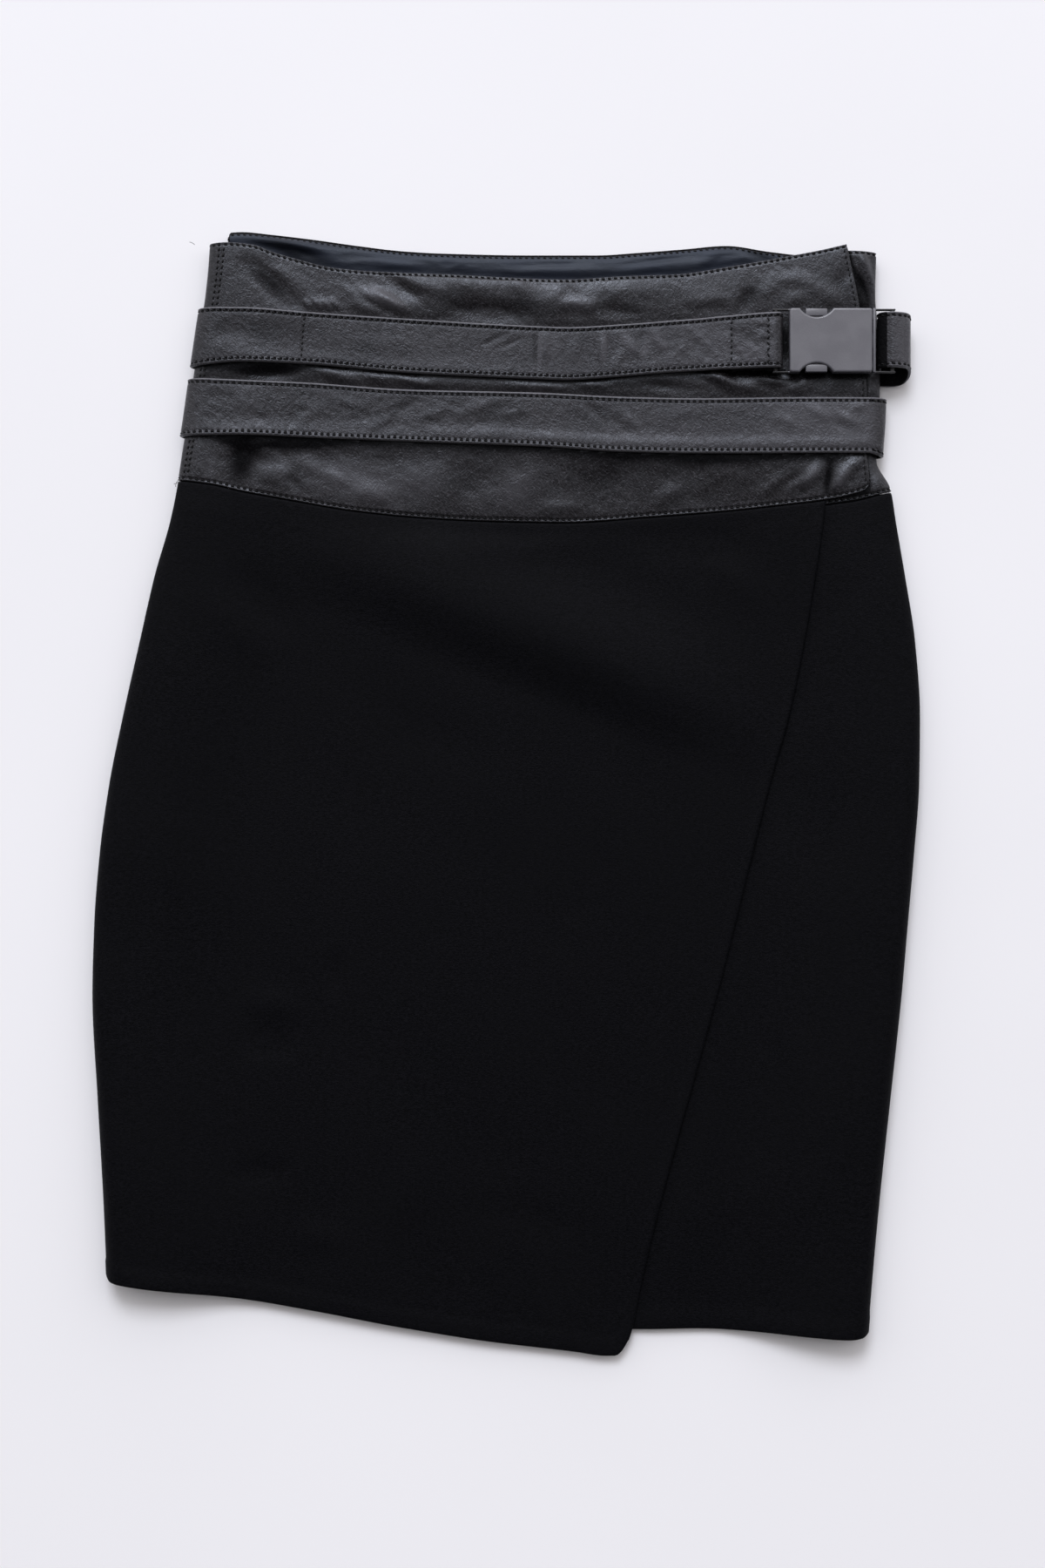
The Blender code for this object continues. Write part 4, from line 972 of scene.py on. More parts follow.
UNDER_YOKE_TONES = [
    (0.1985, 0.282, -61, 0.028, 0.0046, -1.6), (0.2042, 0.2905, -74, 0.026, 0.0026, 0.9),
    (0.208, 0.184, 84, 0.02, 0.0024, 0.4), (0.2075, 0.227, 86, 0.01, 0.002, 0.35),
]
SATIN_TONES = [
    (-0.115, 0.3025, -22, 0.03, 0.005, -1.0), (-0.135, 0.31, -10, 0.026, 0.0026, -0.5),
    (-0.06, 0.299, -6, 0.04, 0.0024, 0.3), (0.142, 0.304, -26, 0.016, 0.004, -0.8),
    (0.112, 0.303, 20, 0.016, 0.003, 0.4),
]
CREASE_TONE = 160.0

# Below each strap the yoke is darker, for as far as light hardly gets in
SHADE_REACH = 0.0046
UNDER_LOWER = ("x share", [
    (-0.185, 0.3), (-0.15, 1.3), (-0.1, 1.1), (-0.05, 0.8), (0.0, 0.9), (0.1, 1.0), (0.18, 1.1),
    (0.2, 0.5),
])
UNDER_UPPER = ("x share", [
    (-0.185, 0.5), (-0.15, 1.3), (-0.11, 0.9), (-0.06, 0.5), (0.06, 0.5), (0.12, 1.2), (0.2, 1.2),
])

# Irregular fine wrinkles: direction, length and width of one wrinkle, height, and the seed
YOKE_WRINKLES = [
    (-34, 0.014, 0.0048, 0.00011, 3),
    (24, 0.009, 0.004, 0.00006, 5),
    (-8, 0.007, 0.003, 0.00007, 8),
]
STRAP_WRINKLES = [
    (-20, 0.009, 0.0044, 0.00011, 13),
    (34, 0.006, 0.0034, 0.00008, 17),
]
TURN_BACK_WRINKLES = [
    (-38, 0.008, 0.0028, 0.0003, 23),
    (16, 0.005, 0.0022, 0.00018, 29),
]
WOOL_WAVES = [
    (-32, 0.09, 0.042, 0.00045, 31),
    (70, 0.06, 0.03, 0.00022, 37),
]
SATIN_WRINKLES = [
    (4, 0.02, 0.0042, 0.00024, 41),
    (30, 0.008, 0.0034, 0.00012, 43),
]
LATTICE = 97
WRINKLE_SWAY = 0.4
WRINKLE_TURNS = 0.7
WRINKLE_BLUNT = 0.02


def creases(rows, x, y):
    """Sum of the placed creases: a squared cosine along each crest times a bell across it."""
    total = np.zeros_like(x)
    for crest_x, crest_y, angle, long, wide, height, *bend in rows:
        turn = math.radians(angle)
        off_x = x - crest_x
        off_y = y - crest_y
        along = (off_x * math.cos(turn) + off_y * math.sin(turn)) / long
        across = (off_y * math.cos(turn) - off_x * math.sin(turn)) / wide
        across = across - (bend[0] if bend else 0) * along ** 2
        total += height * np.cos(0.5 * np.pi * np.clip(along, -1, 1)) ** 2 * np.exp(-across ** 2)
    return total


def soft_noise(u, v, seed):
    """Smooth field from -1 to 1: seeded values on a square lattice, eased between its corners."""
    values = np.random.default_rng(seed).uniform(-1, 1, (LATTICE, LATTICE))
    column = np.floor(u).astype(int)
    row = np.floor(v).astype(int)
    s = ease(u - column, 0, 1)
    t = ease(v - row, 0, 1)
    c0, c1 = column % LATTICE, (column + 1) % LATTICE
    r0, r1 = row % LATTICE, (row + 1) % LATTICE
    near = values[r0, c0] * (1 - s) + values[r0, c1] * s
    far = values[r1, c0] * (1 - s) + values[r1, c1] * s
    return near * (1 - t) + far * t


def wrinkles(rows, x, y, ridged=True):
    """Smooth noise stretched along each row's direction; ridged, it has a crest where noise is 0."""
    total = np.zeros_like(x)
    for angle, long, wide, height, seed in rows:
        turn = math.radians(angle)
        along = (x * math.cos(turn) + y * math.sin(turn)) / long
        across = (y * math.cos(turn) - x * math.sin(turn)) / wide
        field = soft_noise(along + WRINKLE_SWAY * np.sin(across * WRINKLE_TURNS), across, seed)
        if ridged:
            field = 1 - 2 * np.sqrt(field ** 2 + WRINKLE_BLUNT)
        total += height * field
    return total


# Where each relief comes in: distances from a bound, a seam or an edge, or places along X
BARE_START = 0.0002
YOKE_FREE = 0.0028
BACK_YOKE_FREE = 0.0040
UNDER_YOKE_FREE = 0.0030
UNDER_END_FREE = (0.0004, 0.0026)
LIFT_FREE = (0.0, 0.008)
STRAP_INSIDE = (0.0028, 0.0055)
SATIN_HELD = (0.0002, 0.0030)
SATIN_LOOSE = (0.0004, 0.0050)
WOOL_FREE = (0.001, 0.016)
UNDER_WOOL_FREE = (0.002, 0.014)
TURNING_STEP = 0.0016
BUCKLE_SPREAD = (0.140, 0.152)
DOUBLED_START = (TURN_BACK_END - 0.001, TURN_BACK_END + 0.002)
DOUBLED_END = (0.148, 0.155)
UPPER_WORN = (0.04, 0.08)
LOWER_WORN = (-0.01, 0.05)
RIBBON_START = (-0.06, 0.0)
LOOP_RELIEF = (0.2130, 0.2150)
# Where the painted highlight on the loop comes in
LOOP_TONE = (0.2136, 0.2160)

# Share of each strap's fine wrinkles at its left end, and what is added to it toward the right
UPPER_FINE = (0.5, 0.9)
LOWER_FINE = (1.5, -0.7)

# Shifts along X, so that no two pieces show the same wrinkles
UNDER_YOKE_SHIFT = 0.3
LOWER_STRAP_SHIFT = 0.05

# How deep troughs may go, what the hidden side shows of the relief, and steady tones
DEEPEST = -0.0004
UNDER_YOKE_DEEPEST = -0.0006
UNDER_YOKE_PUFF = 0.0008
SATIN_DEEPEST = -0.0002
UNDER_WOOL_DEEPEST = -0.0003
STRAP_BACK_DEEPEST = -0.0003
BACK_YOKE_HIGHEST = 0.0016
BACK_YOKE_FINE = 0.6
STRAP_BACK_FINE = 0.5
# Painted shadow on the under yoke along the over yoke's free end: its share and reach
END_SHADE = 0.9
END_SHADE_REACH = 0.0014
STRAP_TONE = 0.04
STRAP_FADE = 3.0
STRAP_FADE_START = -0.03
# Painted highlight on the loop, and the strength of the painted streaks along its folds
LOOP_LIGHT = 0.85
LOOP_CREASE_TONE = 900


def lifted(x, y):
    """How far the front's yoke and straps stand up together along each strap's lower edge."""
    total = np.zeros_like(x)
    for edge, name in ((UPPER_BOTTOM, "upper"), (LOWER_BOTTOM, "lower")):
        off_edge = y - read(edge, "y", x)
        reach = np.where(off_edge > 0, LIFT_ABOVE, LIFT_BELOW)
        total += read(LIFT, name, x) * np.exp(-(off_edge / reach) ** 2)
    return total


def spans_of_yoke(x, y, edges, from_top, from_bottom):
    """Distances to the upper and lower bounds of the bare stretch of yoke that each point lies in.

    The stretches lie above, between and below the straps; both distances are 0 under a strap, and
    under the buckle, which overhangs its strap.
    """
    upper_top, upper_bottom, lower_top, lower_bottom = [read(edge, "y", x) for edge in edges]
    wide = BUCKLE_OVERHANG * ease(x, *BUCKLE_SPREAD)
    above = np.zeros_like(x)
    below = np.zeros_like(x)
    for up, down in ((from_top, y - upper_top - wide), (upper_bottom - wide - y, y - lower_top),
                     (lower_bottom - y, from_bottom)):
        inside = (up > 0) & (down > 0)
        above = np.where(inside, up, above)
        below = np.where(inside, down, below)
    return above, below


def bare(above, below, clearance):
    """0 under the straps and at the bounds of a bare stretch, 1 further than a clearance inside."""
    return ease(np.minimum(above, below), BARE_START, clearance)


def arched(above, below, share):
    """A low arch across each bare stretch: its top is that share of the stretch's width."""
    return share * 4 * above * below / np.maximum(above + below, 0.001)


def front_arch(x, y):
    """Share for each stretch of the front: above, between and below the straps."""
    upper, middle, lower = [read(YOKE_ARCH, name, x) for name in ("upper", "middle", "lower")]
    share = np.where(y > read(UPPER_BOTTOM, "y", x), upper, middle)
    return np.where(y < read(LOWER_TOP, "y", x), lower, share)


def yoke_relief(x, y, front, rear, from_top, from_bottom):
    """Leather arches up between the straps and the seams, with its creases on that."""
    fine = wrinkles(YOKE_WRINKLES, x, y)
    above, below = spans_of_yoke(x, y, FRONT_STRAPS, from_top, from_bottom)
    over = arched(above, below, front_arch(x, y)) + creases(YOKE_CREASES, x, y) + fine
    over = np.maximum(over, DEEPEST - lifted(x, y)) * bare(above, below, YOKE_FREE)
    over = over + lifted(x, y) * ease(from_bottom, *LIFT_FREE) * ease(from_top, *LIFT_FREE)
    above, below = spans_of_yoke(x, y, BACK_STRAPS, from_top, from_bottom)
    back = arched(above, below, BACK_YOKE_ARCH) + creases(BACK_YOKE_CREASES, x, y) + BACK_YOKE_FINE * fine
    back = np.clip(back, DEEPEST, BACK_YOKE_HIGHEST) * bare(above, below, BACK_YOKE_FREE)
    return over * front + back * rear


def over_yoke_tone(x, y, front):
    """Painted shade and highlight from the table and the creases, and painted shade right below each strap.
    """
    tone = creases(YOKE_TONES, x, y) + CREASE_TONE * creases(YOKE_CREASES, x, y)
    for edge, table in ((UPPER_BOTTOM, UNDER_UPPER), (LOWER_BOTTOM, UNDER_LOWER)):
        below = np.maximum(read(edge, "y", x) - y, 0)
        tone = tone - read(table, "share", x) * np.exp(-(below / SHADE_REACH) ** 2) * (below > 0)
    return tone * front


def under_yoke_tone(x, y, front):
    """Painted shade and highlight from the table, and a painted shadow along the over yoke's free end."""
    beside = np.exp(-(np.maximum(x - yoke_end(y), 0) / END_SHADE_REACH) ** 2)
    return (creases(UNDER_YOKE_TONES, x, y) - END_SHADE * beside) * front


def strap_tone(x, y, front):
    """Painted shade and highlight from the table and the creases, a steady lightening toward the buckle, and
    the loop's painted highlight.
    """
    tone = creases(STRAP_TONES, x, y) + STRAP_FADE * np.maximum(x, STRAP_FADE_START) + STRAP_TONE
    creased = creases(UPPER_STRAP_CREASES, x, y) + creases(LOWER_STRAP_CREASES, x, y)
    # Painted highlight on the loop at the insert's bar, with painted streaks of highlight and shade along
    # its folds
    looped = ease(x, *LOOP_TONE) * (LOOP_LIGHT + LOOP_CREASE_TONE * creases(LOOP_CREASES, x, y))
    return (tone + CREASE_TONE * creased) * front + looped * (1 - front)


def under_yoke_relief(x, y, front, rear, from_top, from_bottom):
    """Only the strip right of the over yoke is free to crease; the rest lies pressed flat."""
    above, below = spans_of_yoke(x, y, FRONT_STRAPS, from_top, from_bottom)
    free = ease(x - yoke_end(y), *UNDER_END_FREE) * bare(above, below, UNDER_YOKE_FREE)
    height = creases(UNDER_YOKE_CREASES, x, y) + wrinkles(YOKE_WRINKLES, x + UNDER_YOKE_SHIFT, y)
    return free * front * np.maximum(UNDER_YOKE_PUFF + height, UNDER_YOKE_DEEPEST)


def strap_side(height, fine, front, rear, inside):
    """Relief of a strap: all of it in front, and a share of its fine wrinkles on the hidden side."""
    return height * front + STRAP_BACK_FINE * np.maximum(fine, STRAP_BACK_DEEPEST) * rear * inside


def upper_strap_relief(x, y, front, rear, from_top, from_bottom):
    """Cross creases where the strap bends, and a heavily wrinkled doubled end."""
    doubled = ease(x, *DOUBLED_START) * (1 - ease(x, *DOUBLED_END))
    inside = ease(np.minimum(from_top, from_bottom), *STRAP_INSIDE)
    fine = wrinkles(STRAP_WRINKLES, x, y) * (UPPER_FINE[0] + UPPER_FINE[1] * ease(x, *UPPER_WORN))
    fine = fine + doubled * wrinkles(TURN_BACK_WRINKLES, x, y)
    height = np.maximum(creases(UPPER_STRAP_CREASES, x, y) + fine * inside, DEEPEST) + lifted(x, y)
    loop = ease(x, *LOOP_RELIEF) * (1 - front) * (1 - rear)
    return (strap_side(height, fine, front, rear, inside)
            + loop * creases(LOOP_CREASES, x, y) * inside)


def lower_strap_relief(x, y, front, rear, from_top, from_bottom):
    """Mottled by wear, with a soft roll that runs along inside its lower row of stitches."""
    inside = ease(np.minimum(from_top, from_bottom), *STRAP_INSIDE)
    worn = LOWER_FINE[0] + LOWER_FINE[1] * ease(x, *LOWER_WORN)
    fine = wrinkles(STRAP_WRINKLES, x + LOWER_STRAP_SHIFT, y) * worn
    roll = LOWER_STRAP_RIBBON * np.exp(-((from_bottom - RIBBON_IN) / RIBBON_WIDE) ** 2)
    roll = roll * ease(x, *RIBBON_START)
    height = np.maximum(creases(LOWER_STRAP_CREASES, x, y) + roll + fine * inside, DEEPEST)
    return strap_side(height + lifted(x, y), fine, front, rear, inside)


def satin_relief(x, y, front, rear, from_top, from_bottom):
    """Satin stands loose above the over yoke's edge, and lies flat where the yoke covers it."""
    loose = ease(y - read(OVER_WAIST, "y", x), *SATIN_LOOSE) * ease(from_top, *SATIN_HELD)
    height = SATIN_PUFF + creases(SATIN_CREASES, x, y) + wrinkles(SATIN_WRINKLES, x, y)
    return loose * np.maximum(height, SATIN_DEEPEST)


def over_wool_relief(x, y, front, rear, from_top, from_bottom):
    """Broad shallow waves of the wool, flat along the seam to the yoke."""
    free = ease(from_top, *WOOL_FREE)
    height = creases(WOOL_CREASES, x, y) + wrinkles(WOOL_WAVES, x, y, ridged=False)
    return free * np.maximum(height + WOOL_PUFF, DEEPEST) * front


def under_wool_relief(x, y, front, rear, from_top, from_bottom):
    """The same on the strip of the under panel that the slanted edge leaves in view."""
    free = ease(from_top, *WOOL_FREE) * ease(x - wool_edge(y), *UNDER_WOOL_FREE)
    height = creases(UNDER_WOOL_CREASES, x, y) + wrinkles(WOOL_WAVES, x, y, ridged=False)
    return free * np.maximum(height + WOOL_PUFF, UNDER_WOOL_DEEPEST) * front


def back_wool_relief(x, y, front, rear, from_top, from_bottom):
    """Shallow troughs on the side that lies on the surface."""
    return creases(BACK_WOOL_CREASES, x, y) * rear * ease(from_top, *WOOL_FREE)


def turned_in(from_edge, wide):
    """1 over a turned-in edge of some width, easing to 0 at its inner side."""
    return 1 - ease(from_edge, wide - TURNING_STEP, wide)


def over_hem_turning(x, y, from_bottom):
    """Extra thickness where the over panel's hem and its slanted edge are turned in."""
    edge = turned_in(wool_edge(y) - x, EDGE_TURNING)
    return TURNING_THICK * np.maximum(turned_in(from_bottom, HEM_TURNING), edge)


def hem_turning(x, y, from_bottom):
    """Extra thickness where a hem is turned in."""
    return TURNING_THICK * turned_in(from_bottom, HEM_TURNING)


WAIST = {"front": OVER_WAIST, "under": UNDER_WAIST, "back": BACK_WAIST}
SEAM = {"front": OVER_SEAM, "under": UNDER_SEAM, "back": BACK_SEAM}
HEM = {"front": OVER_HEM, "under": UNDER_HEM, "back": BACK_HEM}
UPPER_STRAP_TOP = {"front": UPPER_TOP, "under": UPPER_TOP, "back": UPPER_BACK_TOP,
                   "slant": LOOP_TOP_SLANT}
UPPER_STRAP_BOTTOM = {"front": UPPER_BOTTOM, "under": UPPER_BOTTOM, "back": UPPER_BACK_BOTTOM,
                      "slant": LOOP_BOTTOM_SLANT}
LOWER_STRAP_TOP = {"front": LOWER_TOP, "under": LOWER_TOP, "back": LOWER_BACK_TOP}
LOWER_STRAP_BOTTOM = {"front": LOWER_BOTTOM, "under": LOWER_BOTTOM, "back": LOWER_BACK_BOTTOM}


def edge_steps(roll):
    """Distances from an edge at which its quarter-round is sampled."""
    return roll * (1 - np.cos(np.radians([0, 30, 60, 90])))


def stitched_steps(roll):
    """The same, and then across the groove of a row of stitches."""
    groove = STITCH_INSET + GROOVE_WIDE * np.array([-1.2, -0.7, -0.35, 0, 0.35, 0.7, 1.2])
    return np.concatenate([edge_steps(roll), groove[groove > roll * 1.1]])


# What a cloth piece has unless it says otherwise
PLAIN_PIECE = {"out": 0.0, "inner_edge": wool_edge, "trim": (0.0, 0.0), "relief": None,
               "closed": False, "groove": 0.0, "insets": (STITCH_INSET, STITCH_INSET),
               "thicker": None, "dull_end": 0.0, "tone": None}


def piece(spans, top, bottom, rows, thickness, roll, **more):
    """Everything that a cloth piece is made from. Spans after the first share its last column."""
    joined = []
    for number, (zone, first, last, (share, offset)) in enumerate(spans):
        skip = 1 if number else 0
        joined.append((zone, first, last, (share[skip:], offset[skip:])))
    return {**PLAIN_PIECE, "spans": joined, "top": top, "bottom": bottom, "rows": rows,
            "thickness": thickness, "roll": roll, **more}


def wool_pieces():
    """The three wool panels, each between the yoke's seam and its hem."""
    steps = edge_steps(WOOL_ROLL)

    def panel(spans, row_cells, relief, thicker=None):
        return piece(spans, SEAM, HEM, columns(row_cells, steps, steps), WOOL, WOOL_ROLL,
                     trim=(SEAM_GAP / 2, 0), relief=relief, thicker=thicker)

    over = panel([("over", 0, 1, columns(178, start=steps)),
                  ("left", 0, seam_before, columns(12, end=steps))], 196, over_wool_relief, over_hem_turning)
    back = panel([("left", seam_after, 1, columns(12, start=steps)), ("back", 0, 1, columns(96)),
                  ("right", 0, seam_before, columns(12, end=steps))], 110, back_wool_relief)
    under = panel([("right", seam_after, 1, columns(12, start=steps)),
                   ("under", 0, 1, columns(96, end=steps))], 130, under_wool_relief, hem_turning)
    return {"wool_over_panel": over, "wool_back_panel": back, "wool_under_panel": under}


def yoke_pieces():
    """The three leather pieces of the yoke, between the waist and the seam to the wool."""
    steps = edge_steps(LEATHER_ROLL)
    stitched = stitched_steps(LEATHER_ROLL)

    def yoke(spans, row_cells, relief, **more):
        return piece(spans, WAIST, SEAM, columns(row_cells, stitched, stitched), LEATHER, LEATHER_ROLL,
                     trim=(0, SEAM_GAP / 2), relief=relief, groove=GROOVE_DEEP,
                     insets=(WAIST_INSET, SEAM_INSET), **more)

    over = yoke([("over", 0, 1, columns(292, start=stitched)),
                 ("left", 0, yoke_seam_share, columns(3, end=steps))], 96, yoke_relief,
                inner_edge=yoke_end, tone=over_yoke_tone)
    back = yoke([("left", after_yoke_seam, 1, columns(18, start=steps)),
                 ("back", 0, 1, columns(130, start=BACK_CORNER)),
                 ("right", 0, seam_before, columns(12, end=steps))], 64, yoke_relief)
    under = yoke([("right", seam_after, 1, columns(14, start=steps)), ("under", 0, 0.1, columns(44)),
                  ("under", 0.1, 1, columns(70, end=steps))], 64, under_yoke_relief, tone=under_yoke_tone)
    return {"leather_over_yoke": over, "leather_back_yoke": back, "leather_under_yoke": under}


def strap_pieces():
    """Lower strap, closed round the yoke; upper strap, from the housing's bar round to the insert's."""
    rows = columns(18, stitched_steps(STRAP_ROLL), stitched_steps(STRAP_ROLL))
    ends = edge_steps(STRAP_ROLL)
    lower = piece([("over", 0, 1, columns(400)), ("left", 0, 1, columns(22)),
                   ("back", 0, 1, columns(130)), ("strap_right", 0, 1, columns(22))],
                  LOWER_STRAP_TOP, LOWER_STRAP_BOTTOM, rows, STRAP, STRAP_ROLL, out=STRAP_OUT,
                  inner_edge=strap_turn, relief=lower_strap_relief, closed=True, groove=GROOVE_DEEP,
                  tone=strap_tone)
    zone, first, last, (share, offset) = lower["spans"][-1]
    lower["spans"][-1] = (zone, first, last, (share[:-1], offset[:-1]))
    upper = piece([("turn_back", 0, 1, columns(24, start=ends)), ("bar_loop", 0, 1, columns(12)),
                   ("ramp", 0, 1, columns(48)), ("over", after_ramp, 1, columns(310)),
                   ("left", 0, 1, columns(22)), ("back", 0, BACK_TAIL_START, columns(110)),
                   ("tail", 0, 1, columns(8)), ("insert_turn", 0, 1, columns(30)),
                   ("insert_bar", 0, 1, columns(20, end=ends))],
                  UPPER_STRAP_TOP, UPPER_STRAP_BOTTOM, rows, STRAP, STRAP_ROLL, out=STRAP_OUT,
                  relief=upper_strap_relief, groove=GROOVE_DEEP, dull_end=PAINTED_SHADE_END, tone=strap_tone)
    return {"leather_lower_strap": lower, "leather_upper_strap": upper}


def satin_facing():
    """Strip of satin inside the back yoke: a straight-sided grid just above the yoke's wall."""
    steps = edge_steps(SATIN_ROLL)
    share, offset = columns(220, steps, steps)
    x = (FACING_LEFT + (FACING_RIGHT - FACING_LEFT) * share + offset)[None, :]
    row_share, row_offset = columns(44, steps, steps)
    from_top = (FACING_DEPTH * row_share + row_offset)[:, None] + 0 * x
    y = read(BACK_WAIST, "y", x) - FACING_INSET - from_top
    x = x + 0 * y
    z = read(LAYERS, "back", y) + LEATHER / 2 + LAYER_GAP + SATIN / 2
    z = z + satin_relief(x, y, 1, 0, from_top, FACING_DEPTH - from_top)
    points = np.stack([x, y, z], axis=2)
    rounding = (edge_rounding(row_share, row_offset, SATIN_ROLL)[:, None]
                * edge_rounding(share, offset, SATIN_ROLL)[None, :])
    normal = -outward(points)
    return points, normal, rounding * SATIN / 2, from_top


def path_of_row(piece, edge):
    """Line on the outer side of a piece, at its row's distance in from its top or bottom edge."""
    step = 0.0004
    inset = piece["insets"][0 if edge == "top" else 1]
    insets = np.array([inset - step, inset, inset + step])
    if edge == "top":
        rows = (np.zeros(3), insets)
    else:
        rows = (np.ones(3), -insets[::-1])
    points = settled(piece, rows)[0]
    normal = outward(points, piece["closed"])
    height = piece["thickness"] / 2 - GROOVE_SEAT * piece["groove"]
    return points[1] + normal[1] * height, normal[1]


def path_of_column(piece, span, place, step=0.0004, inset=STITCH_INSET):
    """Line on the outer side of a piece from its top to its bottom, where `place` metres from the
    start of a stretch, or at a share of it given as a function of y."""
    zone, first, last, _ = piece["spans"][span]
    if callable(place):
        narrow = (zone, lambda y: place(y, step), lambda y: place(y, -step), (np.array([0, 0.5, 1.0]),
                                                                             np.zeros(3)))
    else:
        share = np.zeros(3) if place >= 0 else np.ones(3)
        narrow = (zone, first, last, (share, np.array([place - step, place, place + step])))
    rows = columns(60)
    trimmed = (rows[0], inset * (1 - 2 * rows[0]))
    points = settled({**piece, "spans": [narrow], "closed": False}, trimmed)[0]
    normal = outward(points)
    return points[:, 1] + normal[:, 1] * (piece["thickness"] / 2), normal[:, 1]


def distances(path):
    """Distance of each of a line's points along it."""
    return np.concatenate([[0], np.cumsum(np.linalg.norm(np.diff(path, axis=0), axis=1))])


def at_distances(path, values, place):
    """Values that are given along a line, at some distances along it."""
    length = distances(path)
    return np.stack([np.interp(place, length, values[:, i]) for i in range(3)], axis=1)


def row_of_stitches(path, normal, other=None, start=STITCH_START):
    """Ends and normals of the stitches along a line; between two lines, they zigzag."""
    count = int((distances(path)[-1] - start - STITCH_LONG) / STITCH_PITCH) + 1
    place = start + STITCH_PITCH * np.arange(count)
    begin = at_distances(path, path, place)
    end = at_distances(path, path, place + STITCH_LONG)
    up = at_distances(path, normal, place + STITCH_LONG / 2)
    if other is None:
        slant = np.cross(end - begin, up) * STITCH_SLANT / STITCH_LONG
        begin, end = begin - slant, end + slant
    else:
        odd = (np.arange(count) % 2 == 1)[:, None]
        begin = np.where(odd, at_distances(other, other, place), begin)
        end = np.where(odd, end, at_distances(other, other, place + STITCH_LONG))
    return begin, end, up


def threads(name, rows, radius=THREAD_RADIUS, sag=0.00012):
    """One mesh of all the stitches: each a short tube whose ends narrow and dive into the leather.

    A ring of points goes round the stitch at a few places along it; the ring's centre rises by an
    arch between the stitch's ends.
    """
    begin = np.concatenate([row[0] for row in rows])
    end = np.concatenate([row[1] for row in rows])
    up = np.concatenate([row[2] for row in rows])
    place = np.array([0.0, 0.14, 0.5, 0.86, 1.0])
    size = np.array([0.35, 0.95, 1.0, 0.95, 0.35])
    lift = np.array([-1.3, 0.0, 0.45, 0.0, -1.3]) * radius + sag
    angle = np.arange(6) * np.pi / 3
    run = end - begin
    side = np.cross(run, up)
    side = side / np.linalg.norm(side, axis=1, keepdims=True)
    centre = begin[:, None] + run[:, None] * place[None, :, None] + up[:, None] * lift[None, :, None]
    ring = side[:, None] * np.cos(angle)[None, :, None] + up[:, None] * np.sin(angle)[None, :, None]
    points = centre[:, :, None] + radius * size[None, :, None, None] * ring[:, None]
    count = len(begin)
    index = np.arange(count * 30).reshape(count, 5, 6)
    follow = np.roll(index, -1, axis=2)
    tube = np.stack([index[:, :-1], follow[:, :-1], follow[:, 1:], index[:, 1:]], axis=3).reshape(-1, 4)
    caps = [np.stack([index[:, 0, 5 - k] for k in range(6)], axis=1), index[:, 4]]
    faces = tube.tolist() + caps[0].tolist() + caps[1].tolist()
    return new_mesh(name, points, faces, smooth=True)


def plate_outline(inset):
    """Closed outline of the plate, inset all round: straight sides, quarter-round corners, and a
    thumb notch in the top and bottom sides as an arc of a circle centred outside the plate."""
    left, right = PLATE_LEFT + inset, PLATE_RIGHT - inset
    bottom, top = PLATE_BOTTOM + inset, PLATE_TOP - inset
    radius = PLATE_CORNER - inset
    quarter = np.radians(np.linspace(0, 90, 7))
    notch = NOTCH_RADIUS + inset
    reach = NOTCH_RADIUS - NOTCH_DEPTH
    half_angle = math.acos((reach + inset) / notch)
    sweep = np.linspace(-half_angle, half_angle, 25)

    def corner(x, y, turn):
        return np.stack([x + radius * np.cos(quarter + turn), y + radius * np.sin(quarter + turn)], axis=1)

    def thumb(y, side):
        return np.stack([NOTCH_X + side * notch * np.sin(sweep), y + side * notch * np.cos(sweep)], axis=1)

    return np.concatenate([
        corner(left + radius, bottom + radius, math.pi),
        thumb(PLATE_BOTTOM - reach, 1),
        corner(right - radius, bottom + radius, 1.5 * math.pi),
        corner(right - radius, top - radius, 0.0),
        thumb(PLATE_TOP + reach, -1),
        corner(left + radius, top - radius, 0.5 * math.pi),
    ])


def plate_slab(name):
    """Plate: its outline carried up a profile of quarter-round rims, closed by a flat top and bottom."""
    bend = np.radians(np.linspace(0, 90, 7))
    rim_up = PLATE_THICK / 2 - PLATE_RIM + PLATE_RIM * np.sin(bend)
    inset = np.concatenate([[PLATE_RIM + 0.0003], PLATE_RIM * (1 - np.cos(bend))[::-1],
                            PLATE_RIM * (1 - np.cos(bend)), [PLATE_RIM + 0.0003]])
    height = np.concatenate([[-PLATE_THICK / 2], -rim_up[::-1], rim_up, [PLATE_THICK / 2]])
    loops = [np.column_stack([plate_outline(i), np.full(len(plate_outline(i)), plate_height() + z)])
             for i, z in zip(inset, height)]
    points = np.stack(loops)
    levels, around = points.shape[:2]
    index = np.arange(levels * around).reshape(levels, around)
    index = np.concatenate([index, index[:, :1]], axis=1)
    faces = quads(index).tolist() + [index[0, :-1][::-1].tolist(), index[-1, :-1].tolist()]
    return new_mesh(name, points, faces)


def about(middle, half):
    """Low and high end of a stretch, from its middle."""
    return middle - half, middle + half


def box_tool(name, x, y, z, rounding=0.0):
    """Block between two places along each axis, its edges rounded."""
    points = np.array([(at_x, at_y, at_z) for at_z in sorted(z) for at_y in sorted(y) for at_x in sorted(x)])
    faces = [(0, 2, 3, 1), (4, 5, 7, 6), (0, 1, 5, 4), (2, 6, 7, 3), (0, 4, 6, 2), (1, 3, 7, 5)]
    thing = new_mesh(name, points, faces)
    if rounding:
        bevel = thing.modifiers.new("Rounded edges", "BEVEL")
        bevel.width = rounding
        bevel.segments = 3
    return thing


